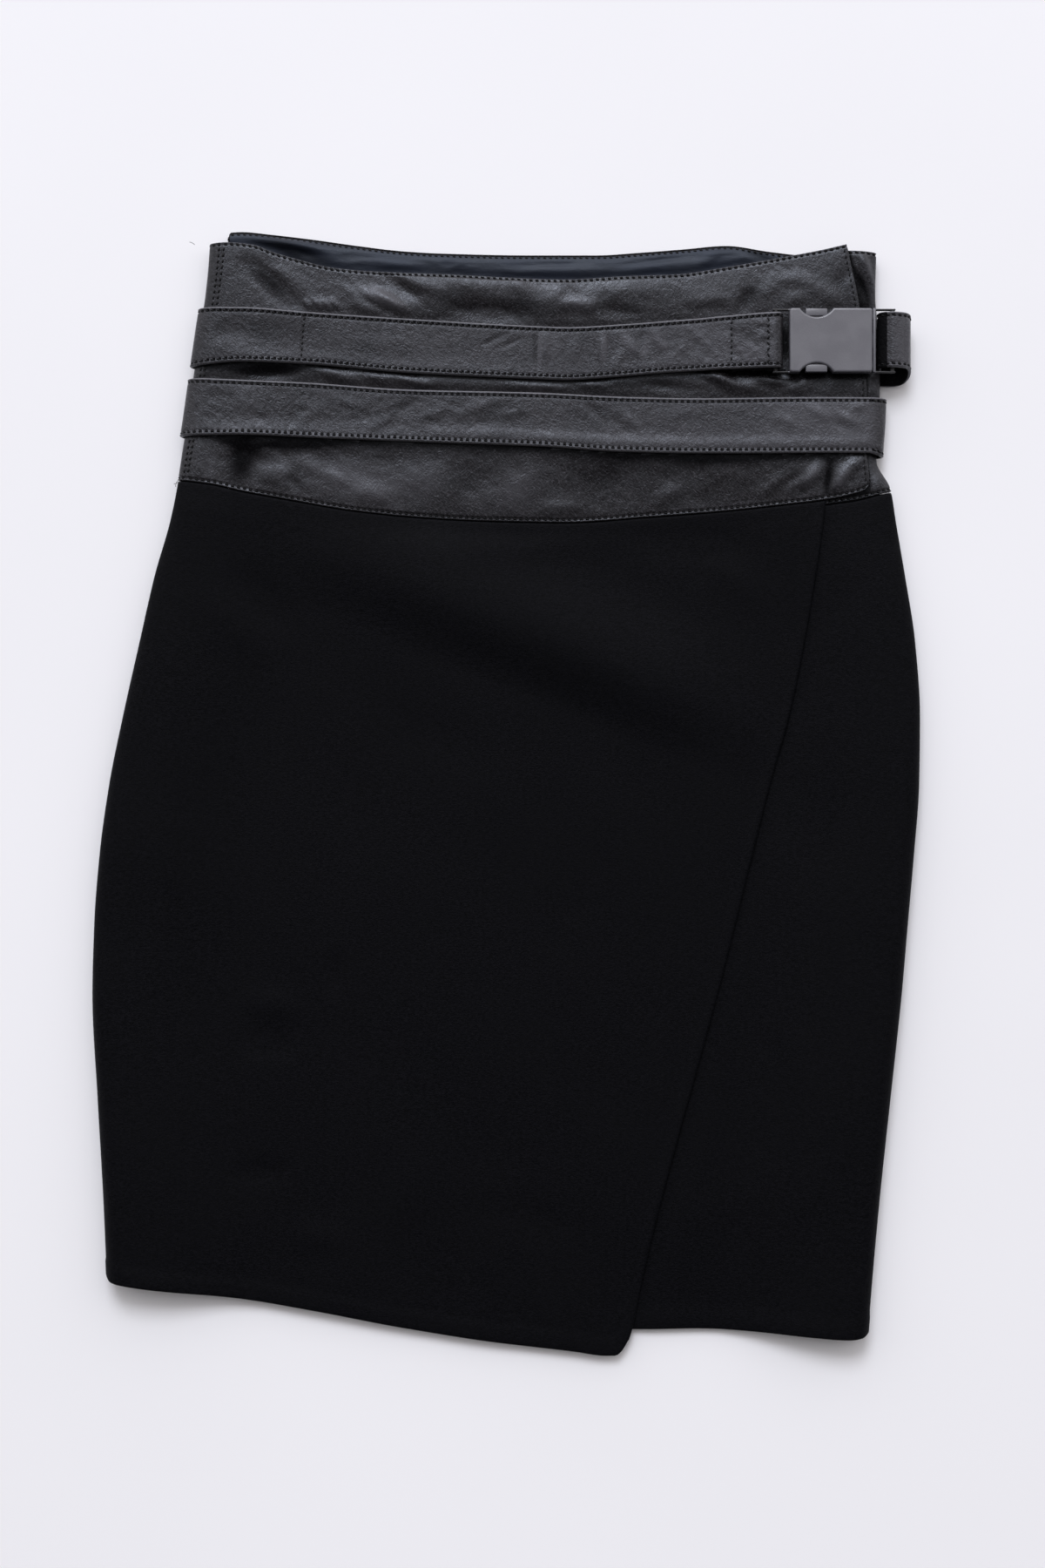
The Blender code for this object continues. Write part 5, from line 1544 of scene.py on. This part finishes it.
def rod_tool(name, x, half_y):
    """Round bar of the buckle along Y: a circle of points at each end, joined and capped."""
    angle = np.arange(ROD_SIDES) * 2 * np.pi / ROD_SIDES
    ring = np.stack([x + BAR_RADIUS * np.cos(angle), 0 * angle,
                     bar_height() + BAR_RADIUS * np.sin(angle)], axis=1)
    points = np.concatenate([ring + [0, y, 0] for y in about(strap_middle(), half_y)])
    near = np.arange(ROD_SIDES)
    follow = np.roll(near, -1)
    sides = np.stack([near, near + ROD_SIDES, follow + ROD_SIDES, follow], axis=1).tolist()
    return new_mesh(name, points, sides + [near.tolist(), (near + ROD_SIDES)[::-1].tolist()])


def finished_solid(thing, steps):
    """Join or cut tools on a solid, then keep the result as a plain mesh with crisp edges."""
    for tool, operation in steps:
        cut = thing.modifiers.new(tool.name, "BOOLEAN")
        cut.operation = operation
        cut.solver = "EXACT"
        cut.object = tool
    bpy.context.view_layer.update()
    solid = bpy.data.meshes.new_from_object(thing.evaluated_get(bpy.context.evaluated_depsgraph_get()))
    thing.modifiers.clear()
    thing.data = solid
    for tool, _ in steps:
        bpy.data.objects.remove(tool)
    solid.shade_smooth()
    solid.set_sharp_from_angle(angle=math.radians(34))
    return thing


def buckle_plate():
    """Housing: the plate with its socket, and two ears that carry the bar of the doubled end."""
    half_y = (PLATE_TOP - PLATE_BOTTOM) / 2
    steps = []
    for side in (-1, 1):
        edge = strap_middle() + side * half_y
        ear = box_tool(f"ear_{side}", (HOUSING_BAR_X - EAR_PAST_BAR, PLATE_LEFT + SUNK),
                       (edge, edge - side * EAR_WIDE), about(bar_height(), EAR_HIGH / 2), EAR_ROUNDING)
        steps.append((ear, "UNION"))
    bar = rod_tool("bar", HOUSING_BAR_X, half_y - EAR_WIDE / 2)
    socket = box_tool("socket", (SOCKET_LEFT, PLATE_RIGHT + SUNK), about(strap_middle(), SOCKET_WIDE / 2),
                      about(plate_height(), SOCKET_HIGH / 2))
    steps += [(bar, "UNION"), (socket, "DIFFERENCE")]
    return finished_solid(plate_slab("buckle_plate"), steps)


def buckle_tongue():
    """Insert: a frame bar with arms and its own bar, a tongue and two prongs with release tabs."""
    middle_y, middle_z = strap_middle(), plate_height()
    half_y = (PLATE_TOP - PLATE_BOTTOM) / 2
    outer = SOCKET_WIDE / 2 - FIT
    blade_z = about(middle_z, SOCKET_HIGH / 2 - FIT)
    frame_bar = box_tool("buckle_tongue", (FRAME_LEFT, FRAME_LEFT + FRAME_WIDE), about(middle_y, half_y),
                         about(middle_z, FRAME_HIGH / 2), FRAME_ROUNDING)
    parts = [("tongue", (TONGUE_LEFT, IN_FRAME), about(middle_y, TONGUE_WIDE / 2), blade_z)]
    for side in (-1, 1):
        prong_y, tab_y, arm_y = [
            [middle_y + side * y for y in ends] for ends in
            ((outer, outer - PRONG_WIDE), (outer - PRONG_WIDE / 2, half_y - TAB_IN),
             (half_y, half_y - ARM_WIDE))]
        parts += [
            (f"prong_{side}", (PRONG_LEFT, IN_FRAME), prong_y, blade_z),
            (f"tab_{side}", about(NOTCH_X, TAB_LONG / 2), tab_y, (blade_z[0], middle_z + TAB_HIGH),
             TAB_ROUNDING),
            (f"arm_{side}", (IN_FRAME, ARM_RIGHT), arm_y, about(bar_height(), EAR_HIGH / 2), EAR_ROUNDING),
        ]
    steps = [(box_tool(*part), "UNION") for part in parts]
    steps.append((rod_tool("insert_bar", INSERT_BAR_X, half_y - ARM_WIDE / 2), "UNION"))
    return finished_solid(frame_bar, steps)


# Noise patterns of the finishes. Each has its stretch along X and Y and its turn in radians, or None
# for the plain place, and then the noise's scale, detail, roughness and distortion.
PATTERNS = {
    "leather dye": (None, 26.0, 4.0, 0.6, 0.8),
    "leather rubbing": ((1.0, 2.4, 0.60), 110.0, 5.0, 0.65, 1.0),
    "leather streaks": ((1.0, 2.8, 0.70), 620.0, 3.0, 0.65, 0.3),
    "leather gloss": (None, 60.0, 4.0, 0.6, 0.6),
    "leather hairlines": ((1.0, 3.2, 0.75), 330.0, 4.0, 0.6, 0.5),
    "leather cross lines": ((2.0, 1.0, 0.45), 170.0, 3.0, 0.55, 1.0),
    "leather crumple": ((1.0, 1.6, 0.55), 190.0, 3.0, 0.55, 1.2),
    "wool heather": ((1.0, 2.6, 0.0), 480.0, 4.0, 0.8, 0.0),
    "wool clouds": (None, 14.0, 3.0, 0.55, 0.0),
    "wool fibres": ((1.0, 2.0, 0.30), 760.0, 2.0, 0.5, 2.0),
    "wool nap": ((1.0, 1.6, 0.0), 900.0, 4.0, 0.7, 0.0),
    "wool felt": (None, 240.0, 3.0, 0.6, 0.0),
    "satin clouds": ((1.0, 3.0, 0.0), 40.0, 3.0, 0.5, 0.0),
    "satin slubs": ((1.0, 2.6, 0.0), 210.0, 3.0, 0.6, 0.0),
    "metal clouds": (None, 70.0, 4.0, 0.6, 0.0),
    "metal spark": (None, 1700.0, 3.0, 0.6, 0.0),
    "floor clouds": (None, 3.0, 2.0, 0.5, 0.0),
}

# Bands of values over which a pattern goes from none of its effect to all of it
COMMON_BAND = (0.30, 0.70)
DYE_BAND = (0.35, 0.68)
RUBBED_BAND = (0.50, 0.74)
STREAK_DARK = (0.30, 0.50)
STREAK_LIGHT = (0.50, 0.70)
CROSS_LINE_BAND = (0.0, 0.12)
CRUMPLE_BAND = (0.0, 0.16)
HEATHER_BAND = (0.36, 0.66)
CLOUD_BAND = (0.35, 0.70)
FIBRE_BAND = (0.74, 0.80)

# The same for the stitching: wave along the row, distance off the row, and distance from each edge
STITCH_WAVE = (-0.2, 0.6)
HOLE_BAND = (0.0003, 0.0010)
PUCKER_BAND = (0.0, GROOVE_WIDE)
TOP_EDGE_BAND = (0.0002, 0.0010)
BOTTOM_EDGE_BAND = (0.0002, 0.0009)
# Bottom edges get less of the edges' wear and painted highlight than top edges, which face the window
BOTTOM_EDGE_WEAR_AND_HIGHLIGHT_SHARE = 0.45

# Largest share of each layer of colour
RUBBED_SHARE = 0.65
STREAK_SHARE = 0.6
DARK_SHARE = 0.85
LIGHT_SHARE = 0.62
HOLE_SHARE = 0.9
CLOUD_SHARE = 0.35
FIBRE_SHARE = 0.5
SATIN_DARK_SHARE = 0.7
SATIN_LIGHT_SHARE = 0.6
METAL_WORN_SHARE = 0.6
METAL_SHADE_SHARE = 0.92

# Depth of the fine relief, in metres: leather, then wool, satin, metal and thread
PEBBLE_DEEP = 0.00003
HAIRLINE_DEEP = 0.00007
CROSS_LINE_DEEP = 0.00006
PUCKER_DEEP = 0.00060
NAP_DEEP = 0.00025
FELT_DEEP = 0.00016
RIB_DEEP = 0.00004
SLUB_DEEP = 0.00016
SPARK_DEEP = 0.00005
PLY_DEEP = 0.00008

# Darker tones, which are painted shade in folds: they dull the highlights, calm the fine relief and are a
# little smoother
DULL_SHARE = 0.85
SATIN_DULL_SHARE = 0.6
CALMED = -0.75
SMOOTHED = -0.12
INNER_ROUGHNESS = 0.8
LEATHER_TINT = (0.86, 0.91, 1.0, 1.0)
SATIN_TINT = (0.80, 0.88, 1.0, 1.0)
NO_TINT = (0.0, 0.0, 0.0, 1.0)


class Look:
    """A material's node tree, with short ways to add nodes and to join their sockets."""

    def __init__(self, name):
        self.material = bpy.data.materials.new(name)
        self.material.use_nodes = True
        self.tree = self.material.node_tree
        self.shader = self.tree.nodes["Principled BSDF"]
        self.place = self.node("ShaderNodeTexCoord").outputs["Object"]

    def node(self, kind, inputs=None, **settings):
        """New node; an input is given by its name or number, as a value or as another node's output."""
        made = self.tree.nodes.new(kind)
        for name, value in settings.items():
            setattr(made, name, value)
        for name, value in (inputs or {}).items():
            self.give(made.inputs[name], value)
        return made

    def give(self, socket, value):
        """Set an input to a value, or join it to another node's output."""
        if isinstance(value, bpy.types.NodeSocket):
            self.tree.links.new(value, socket)
        else:
            socket.default_value = value

    def into(self, name, value):
        """Set or join one of the shader's sockets."""
        self.give(self.shader.inputs[name], value)

    def stretched(self, along_x, along_y, turn):
        """Place on the piece turned about Z, then scaled, so that a pattern is longer one way."""
        turned = self.node("ShaderNodeMapping", {"Vector": self.place, "Rotation": (0, 0, turn)})
        scaled = self.node("ShaderNodeMapping", {"Vector": turned.outputs["Vector"],
                                                 "Scale": (along_x, along_y, 1)})
        return scaled.outputs["Vector"]

    def pattern(self, name):
        """Cloudy pattern from 0 to 1, one of PATTERNS."""
        stretch, scale, detail, roughness, distortion = PATTERNS[name]
        where = self.stretched(*stretch) if stretch else self.place
        noise = self.node("ShaderNodeTexNoise", {"Vector": where, "Scale": scale, "Detail": detail,
                                                 "Roughness": roughness, "Distortion": distortion})
        return noise.outputs["Fac"]

    def pebbles(self, scale, smooth):
        """Distance to the nearest of scattered points, as pebbles of leather grain."""
        cells = self.node("ShaderNodeTexVoronoi", {"Vector": self.place, "Scale": scale,
                                                   "Smoothness": smooth}, feature="SMOOTH_F1")
        return cells.outputs["Distance"]

    def bands(self, turn, scale, distortion, detail):
        """Even bands from 0 to 1 across the turned place, as ribs of a twill or plies of a thread."""
        wave = self.node("ShaderNodeTexWave", {"Vector": self.stretched(1, 1, turn), "Scale": scale,
                                               "Distortion": distortion, "Detail": detail},
                         wave_type="BANDS")
        return wave.outputs["Fac"]

    def blend(self, factor, first, second):
        """Colour between two colours or sockets."""
        return self.node("ShaderNodeMix", {0: factor, 6: first, 7: second}, data_type="RGBA").outputs[2]

    def remap(self, value, band, at_low=0.0, at_high=1.0):
        """Value moved from a band to another range, smooth between and held outside."""
        moved = self.node("ShaderNodeMapRange", {0: value, 1: band[0], 2: band[1], 3: at_low, 4: at_high},
                          interpolation_type="SMOOTHSTEP")
        return moved.outputs[0]

    def maths(self, operation, first, second=0.0, third=0.0):
        """One arithmetic step."""
        return self.node("ShaderNodeMath", {0: first, 1: second, 2: third}, operation=operation).outputs[0]

    def lines(self, name, band):
        """Fine lines where a pattern crosses its middle value, 0 on the line and 1 beside it."""
        off_middle = self.maths("SUBTRACT", self.pattern(name), 0.5)
        return self.remap(self.maths("ABSOLUTE", off_middle), band)

    def relief(self, height, distance, below=None, strength=1.0):
        """Bump of a height in metres at 1, on top of another bump."""
        inputs = {"Height": height, "Distance": distance, "Strength": strength}
        if below is not None:
            inputs["Normal"] = below
        return self.node("ShaderNodeBump", inputs).outputs["Normal"]

    def cut(self):
        """Place in the cut: along the piece, from its top edge and from its bottom edge."""
        where = self.node("ShaderNodeAttribute", attribute_name="cut").outputs["Vector"]
        return self.node("ShaderNodeSeparateXYZ", {0: where}).outputs

    def tones(self):
        """Shares of darker and of lighter tone."""
        tone = self.node("ShaderNodeAttribute", attribute_name="tone").outputs["Fac"]
        return self.remap(tone, (-1.0, 0.0), 1.0, 0.0), self.remap(tone, (0.0, 1.0))


def stitch_row(look):
    """Shares of stitch hole (painted shade), of pucker between two stitches (painted highlight), of edge
    (wear and painted highlight), and of the inner side with an end painted as shade.
    """
    along, from_top, from_bottom = look.cut()
    nearest = look.maths("MINIMUM", from_top, from_bottom)
    off_row = look.maths("ABSOLUTE", look.maths("SUBTRACT", nearest, STITCH_INSET))
    phase = look.maths("SUBTRACT", look.maths("ABSOLUTE", along), STITCH_START + STITCH_LONG / 2)
    wave = look.maths("COSINE", look.maths("MULTIPLY", phase, 2 * math.pi / STITCH_PITCH))
    at_stitch = look.remap(wave, STITCH_WAVE)
    # Painted shade in the stitch holes
    hole = look.maths("MULTIPLY", look.remap(off_row, HOLE_BAND, 1.0, 0.0), at_stitch)
    between = look.maths("SUBTRACT", 1.0, at_stitch)
    # Puckers between stitches, which get a bump and a painted highlight
    pucker = look.maths("MULTIPLY", look.remap(off_row, PUCKER_BAND, 1.0, 0.0), between)
    # Cut edges: worn lighter, with a painted highlight that is stronger on the top edge, which faces the
    # window
    edge = look.maths("MAXIMUM", look.remap(from_top, TOP_EDGE_BAND, 1.0, 0.0),
                      look.remap(from_bottom, BOTTOM_EDGE_BAND, BOTTOM_EDGE_WEAR_AND_HIGHLIGHT_SHARE, 0.0))
    # Below 0 along the cut: the inner side, and an end that is painted black as shade
    return hole, pucker, edge, look.maths("LESS_THAN", along, 0.0)


def leather(name, dark, light, worn, gloss, shine, crumpled, puckered):
    """Soft black leather: mottled dye, pebbled grain, hairline wrinkles one way, puckered stitching."""
    look = Look(name)
    hole, pucker, edge, inner = stitch_row(look)
    darker, lighter = look.tones()
    colour = look.blend(look.remap(look.pattern("leather dye"), DYE_BAND), dark, light)
    rubbed = look.remap(look.pattern("leather rubbing"), RUBBED_BAND, 0.0, RUBBED_SHARE)
    colour = look.blend(rubbed, colour, worn)
    streaks = look.pattern("leather streaks")
    colour = look.blend(look.remap(streaks, STREAK_DARK, STREAK_SHARE, 0.0), colour, SHADE_AND_STREAK_BLACK)
    colour = look.blend(look.remap(streaks, STREAK_LIGHT, 0.0, STREAK_SHARE), colour, TONE_LIGHT)
    # Darker tones are painted shade and lighter tones painted highlight; edges are worn with a painted
    # highlight, and puckers get a painted highlight
    for share, most, layer in ((darker, DARK_SHARE, SHADE_AND_STREAK_BLACK), (lighter, LIGHT_SHARE, TONE_LIGHT),
                               (edge, EDGE_WEAR_AND_HIGHLIGHT_SHARE, EDGE_WEAR_AND_HIGHLIGHT_COLOUR), (pucker, PUCKER_HIGHLIGHT_SHARE * puckered, EDGE_WEAR_AND_HIGHLIGHT_COLOUR)):
        colour = look.blend(look.maths("MULTIPLY", share, most), colour, layer)
    # Black: painted shade in the stitch holes and on the strap's shaded end, and the inner side's own dark
    black = look.maths("MAXIMUM", look.maths("MULTIPLY", hole, HOLE_SHARE),
                       look.maths("MULTIPLY", inner, HOLE_SHARE))
    look.into("Base Color", look.blend(black, colour, SHADE_AND_STREAK_BLACK))
    roughness = look.remap(look.pattern("leather gloss"), COMMON_BAND, gloss - 0.07, gloss + 0.08)
    roughness = look.maths("MULTIPLY_ADD", darker, SMOOTHED, roughness)
    inner_roughness = look.maths("MULTIPLY", inner, INNER_ROUGHNESS)
    look.into("Roughness", look.maths("MAXIMUM", roughness, inner_roughness))
    look.into("Specular IOR Level", shine)
    # Highlights dulled where shade is painted and on the inner side
    dull = look.maths("MAXIMUM", look.maths("MAXIMUM", hole, inner), darker)
    look.into("Specular Tint", look.blend(look.maths("MULTIPLY", dull, DULL_SHARE), LEATHER_TINT, NO_TINT))
    surface = look.relief(look.pebbles(1500.0, 0.5), PEBBLE_DEEP)
    hairlines = look.pattern("leather hairlines")
    calm = look.maths("MULTIPLY_ADD", darker, CALMED, 1.0)
    surface = look.relief(hairlines, HAIRLINE_DEEP, surface, calm)
    surface = look.relief(look.lines("leather cross lines", CROSS_LINE_BAND), CROSS_LINE_DEEP, surface)
    surface = look.relief(look.lines("leather crumple", CRUMPLE_BAND), crumpled, surface, calm)
    look.into("Normal", look.relief(pucker, PUCKER_DEEP * puckered, surface))
    return look.material


def wool(name):
    """Dense black wool felted on its face: heathered dye, a short nap and a few pale fibres."""
    look = Look(name)
    heather = look.pattern("wool heather")
    clouds = look.pattern("wool clouds")
    colour = look.blend(look.remap(heather, HEATHER_BAND), WOOL_DARK, WOOL_LIGHT)
    colour = look.blend(look.remap(clouds, CLOUD_BAND, 0.0, CLOUD_SHARE), colour, WOOL_CLOUD)
    fibre = look.remap(look.pattern("wool fibres"), FIBRE_BAND, 0.0, FIBRE_SHARE)
    look.into("Base Color", look.blend(fibre, colour, WOOL_FIBRE))
    look.into("Roughness", look.remap(clouds, COMMON_BAND, 0.56, 0.66))
    look.into("Specular IOR Level", WOOL_SPECULAR)
    look.into("Sheen Weight", WOOL_SHEEN)
    look.into("Sheen Roughness", 0.45)
    look.into("Sheen Tint", (0.80, 0.86, 1.0, 1.0))
    nap = look.relief(look.pattern("wool nap"), NAP_DEEP)
    look.into("Normal", look.relief(look.pattern("wool felt"), FELT_DEEP, nap))
    return look.material


def satin(name):
    """Navy satin: fine twill ribs, a soft sheen, and painted shade and highlight along its folds."""
    look = Look(name)
    clouds = look.pattern("satin clouds")
    darker, lighter = look.tones()
    colour = look.blend(look.remap(clouds, COMMON_BAND), SATIN_DARK, SATIN_LIGHT)
    # Darker tones are painted shade and lighter tones painted highlight
    for share, most, layer in ((darker, SATIN_DARK_SHARE, SHADE_AND_STREAK_BLACK),
                               (lighter, SATIN_LIGHT_SHARE, SATIN_HIGHLIGHT)):
        colour = look.blend(look.maths("MULTIPLY", share, most), colour, layer)
    look.into("Base Color", colour)
    look.into("Roughness", look.remap(clouds, COMMON_BAND, 0.46, 0.54))
    look.into("Specular IOR Level", 0.42)
    look.into("Specular Tint", look.blend(look.maths("MULTIPLY", darker, SATIN_DULL_SHARE),
                                          SATIN_TINT, NO_TINT))
    look.into("Sheen Weight", 0.08)
    look.into("Sheen Roughness", 0.35)
    ribs = look.relief(look.bands(turn=0.6, scale=700.0, distortion=0.6, detail=1.0), RIB_DEEP)
    look.into("Normal", look.relief(look.pattern("satin slubs"), SLUB_DEEP, ribs))
    return look.material


def moulded(name, colour, worn, gloss):
    """Matt grey moulding: a fine spark texture, slightly rubbed, and painted shade on the bars and ears."""
    look = Look(name)
    clouds = look.pattern("metal clouds")
    shade = look.blend(look.remap(clouds, CLOUD_BAND, 0.0, METAL_WORN_SHARE), colour, worn)
    # Painted shade on the ears, arms and bars beyond the plate's left side and the frame's right side
    x = look.node("ShaderNodeSeparateXYZ", {0: look.place}).outputs["X"]
    frame_right = FRAME_LEFT + FRAME_WIDE
    beside = look.maths("MAXIMUM", look.remap(x, (PLATE_LEFT - 0.0009, PLATE_LEFT - 0.0002), 1.0, 0.0),
                        look.remap(x, (frame_right, frame_right + 0.0008)))
    shaded = look.maths("MULTIPLY", beside, METAL_SHADE_SHARE)
    look.into("Base Color", look.blend(shaded, shade, SHADE_AND_STREAK_BLACK))
    roughness = look.remap(clouds, COMMON_BAND, gloss - 0.03, gloss + 0.05)
    look.into("Roughness", look.maths("MULTIPLY_ADD", beside, 0.35, roughness))
    look.into("Specular IOR Level", 0.8)
    look.into("Normal", look.relief(look.pattern("metal spark"), SPARK_DEEP))
    return look.material


def thread(name, colour):
    """Twisted thread: dark diagonal plies."""
    look = Look(name)
    plies = look.bands(turn=0.8, scale=900.0, distortion=0.4, detail=2.0)
    look.into("Base Color", look.blend(plies, colour, THREAD_LIGHT))
    look.into("Roughness", 0.62)
    look.into("Specular IOR Level", 0.25)
    look.into("Normal", look.relief(plies, PLY_DEEP))
    return look.material


def painted_floor(name):
    """Plain white board, faintly cool."""
    look = Look(name)
    clouds = look.remap(look.pattern("floor clouds"), COMMON_BAND)
    look.into("Base Color", look.blend(clouds, FLOOR_COLOUR, FLOOR_SHADE))
    look.into("Roughness", 0.85)
    look.into("Specular IOR Level", 0.2)
    return look.material


def dress(thing, material, slot_name, *nodes):
    """Give a piece its material, let it ride with the skirt and stand for its solids."""
    thing.data.materials.clear()
    thing.data.materials.append(material)
    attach(thing, "root")
    if nodes:
        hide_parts(*nodes)
    return thing


def at_line(x_top, x_bottom, y_top, y_bottom):
    """Share of the over zone of the upper strap on a straight line down the strap."""
    def place(y, shift):
        x = x_bottom + (x_top - x_bottom) * (y - y_bottom) / (y_top - y_bottom) + shift
        start = wool_edge(y)
        return (start - x) / (start - fold_left(y))
    return place


def at_ramp(x):
    """Share of the upper strap's ramp at a place along X."""
    def place(y, shift):
        return (HOUSING_BAR_X - x - shift) / (HOUSING_BAR_X - LIFT_START) + 0 * y
    return place


def all_stitches(cloths):
    """Every row of stitches, piece by piece."""
    over, back, under = (cloths[name] for name in
                         ("leather_over_yoke", "leather_back_yoke", "leather_under_yoke"))
    yoke = [row_of_stitches(*path_of_row(part, edge)) for part in (over, back, under)
            for edge in ("top", "bottom")]
    yoke.append(row_of_stitches(*path_of_column(over, 0, STITCH_INSET), start=END_STITCH_START))
    side = [row_of_stitches(*path_of_column(over, 1, -SIDE_STITCH)),
            row_of_stitches(*path_of_column(back, 0, SIDE_STITCH))]
    lower, upper = cloths["leather_lower_strap"], cloths["leather_upper_strap"]
    strap = [row_of_stitches(*path_of_row(part, edge)) for part in (lower, upper)
             for edge in ("top", "bottom")]
    strap.append(row_of_stitches(*path_of_column(upper, 3, at_line(*STRAP_JOIN))))
    strap.append(row_of_stitches(*path_of_column(upper, 2, at_ramp(TURN_BACK_END - 0.0002))))
    left, up = path_of_column(upper, 2, at_ramp(ZIGZAG_X - ZIGZAG_WIDE))
    right, _ = path_of_column(upper, 2, at_ramp(ZIGZAG_X + ZIGZAG_WIDE))
    strap.append(row_of_stitches(left, up, right))
    return yoke, strap, side


def facing_stitches():
    """The waist's row of stitches, seen on the satin inside the back yoke."""
    x = np.linspace(FACING_ROW_LEFT, FACING_ROW_RIGHT, 300)
    y = read(BACK_WAIST, "y", x) - STITCH_INSET
    z = read(LAYERS, "back", y) + LEATHER / 2 + LAYER_GAP + SATIN
    z = z - (LAYER_GAP + SATIN) * (1 - ease(x, *FACING_START))
    z = z - (LAYER_GAP + SATIN) * ease(x, *FACING_END)
    path = np.stack([x, y, z], axis=1)
    return row_of_stitches(path, np.zeros_like(path) + [0, 0, 1])


def loose_threads(name):
    """Frayed ends: short threads, each a few straight stitches long, that curl out of the seams."""
    ends = []
    for x, y, angle, bend, count, z in LOOSE_ENDS[1]:
        turn = math.radians(angle)
        point = np.array([x, y, z])
        for number in range(count):
            step = np.array([math.cos(turn), math.sin(turn), LOOSE_RISE * (1 - 2 * number / count)])
            ends.append((point, point + step * LOOSE_STEP))
            point = point + step * LOOSE_STEP * 0.9
            turn += math.radians(bend)
    begin = np.array([end[0] for end in ends])
    finish = np.array([end[1] for end in ends])
    rows = [(begin, finish, np.zeros_like(begin) + [0, 0, 1])]
    return threads(name, rows, radius=LOOSE_RADIUS, sag=0.0)


def build_skirt():
    """Make every piece, with its material and what it stands for."""
    wool_cloth = wool("wool")
    yoke_leather = leather("yoke_leather", YOKE_DARK, YOKE_LIGHT, YOKE_WORN, gloss=0.34, shine=0.43,
                           crumpled=0.00005, puckered=0.5)
    strap_leather = leather("strap_leather", STRAP_DARK, STRAP_LIGHT, STRAP_WORN, gloss=0.38, shine=0.40,
                            crumpled=0.00010, puckered=0.9)
    buckle_grey = moulded("buckle_metal", BUCKLE_GREY, BUCKLE_WORN, gloss=0.33)
    black_thread = thread("black_thread", THREAD_BLACK)
    cloths = {**wool_pieces(), **yoke_pieces(), **strap_pieces()}
    for name, part in cloths.items():
        material_name, node = name.split("_", 1)
        made = {"wool": (wool_cloth, "wool"), "leather": (yoke_leather, "yoke_leather")}[material_name]
        if node.endswith("strap"):
            made = (strap_leather, "strap_leather")
        piece_made = dress(cloth(name, part), *made, node)
    points, normal, half, from_top = satin_facing()
    cut = np.stack([points[:, :, 0], from_top, FACING_DEPTH - from_top], axis=2)
    # The facing's tones are its painted shade and highlight
    facing = wall("satin_waist_facing", points + normal * half[:, :, None],
                  points - normal * half[:, :, None], half, cut,
                  creases(SATIN_TONES, points[:, :, 0], points[:, :, 1]))
    dress(facing, satin("satin"), "satin", "waist_facing")
    yoke_rows, strap_rows, side_rows = all_stitches(cloths)
    dress(threads("side_seam_stitches", side_rows, SIDE_THREAD), black_thread, "yoke_leather")
    dress(threads("yoke_stitches", yoke_rows + [facing_stitches()]), black_thread, "yoke_leather")
    dress(threads("strap_stitches", strap_rows), black_thread, "strap_leather")
    dress(loose_threads("loose_threads"), black_thread, "wool")
    dress(buckle_plate(), buckle_grey, "buckle_metal", "buckle_housing")
    dress(buckle_tongue(), buckle_grey, "buckle_metal", "buckle_insert")


def add_floor():
    """Large white board that the skirt lies on."""
    half = FLOOR_SIZE / 2
    corners = np.array([[-half, -half, FLOOR_Z], [half, -half, FLOOR_Z],
                        [half, half, FLOOR_Z], [-half, half, FLOOR_Z]])
    floor = new_mesh("floor", corners, [(0, 1, 2, 3)])
    floor.data.materials.append(painted_floor("floor"))


def add_light(name, place, target, size, power, colour):
    """Soft square light that faces a point."""
    lamp = bpy.data.lights.new(name, "AREA")
    lamp.shape = "RECTANGLE"
    lamp.size, lamp.size_y = size
    lamp.energy = power
    lamp.color = colour
    light = bpy.data.objects.new(name, lamp)
    light.location = place
    light.rotation_euler = (Vector(target) - Vector(place)).to_track_quat("-Z", "Y").to_euler()
    bpy.context.scene.collection.objects.link(light)


def light_studio():
    """A soft window beyond the waist, and a white room that is brighter on the window's side."""
    world = bpy.data.worlds.new("room")
    world.use_nodes = True
    background = world.node_tree.nodes["Background"]
    background.inputs["Color"].default_value = ROOM_COLOUR
    nodes, links = world.node_tree.nodes, world.node_tree.links
    axes = nodes.new("ShaderNodeSeparateXYZ")
    links.new(nodes.new("ShaderNodeTexCoord").outputs["Generated"], axes.inputs[0])
    strength = nodes.new("ShaderNodeMapRange")
    strength.interpolation_type = "SMOOTHSTEP"
    links.new(axes.outputs["Y"], strength.inputs["Value"])
    for name, value in (("From Min", ROOM_FADE[0]), ("From Max", ROOM_FADE[1]),
                        ("To Min", ROOM_DIM), ("To Max", ROOM_BRIGHT)):
        strength.inputs[name].default_value = value
    links.new(strength.outputs["Result"], background.inputs["Strength"])
    bpy.context.scene.world = world
    add_light("window", WINDOW_PLACE, (0, 0, 0), WINDOW_SIZE, WINDOW_POWER, WINDOW_COLOUR)


def add_camera():
    """Straight overhead, framing 0.588 by 0.882 m at the height of the skirt's front."""
    lens = bpy.data.cameras.new("camera")
    lens.lens = 50
    lens.sensor_fit = "VERTICAL"
    lens.sensor_height = 36
    camera = bpy.data.objects.new("camera", lens)
    camera.location = CAMERA_PLACE
    bpy.context.scene.collection.objects.link(camera)
    bpy.context.scene.camera = camera


build_skirt()
add_floor()
light_studio()
add_camera()
bpy.context.scene.view_settings.view_transform = "Standard"
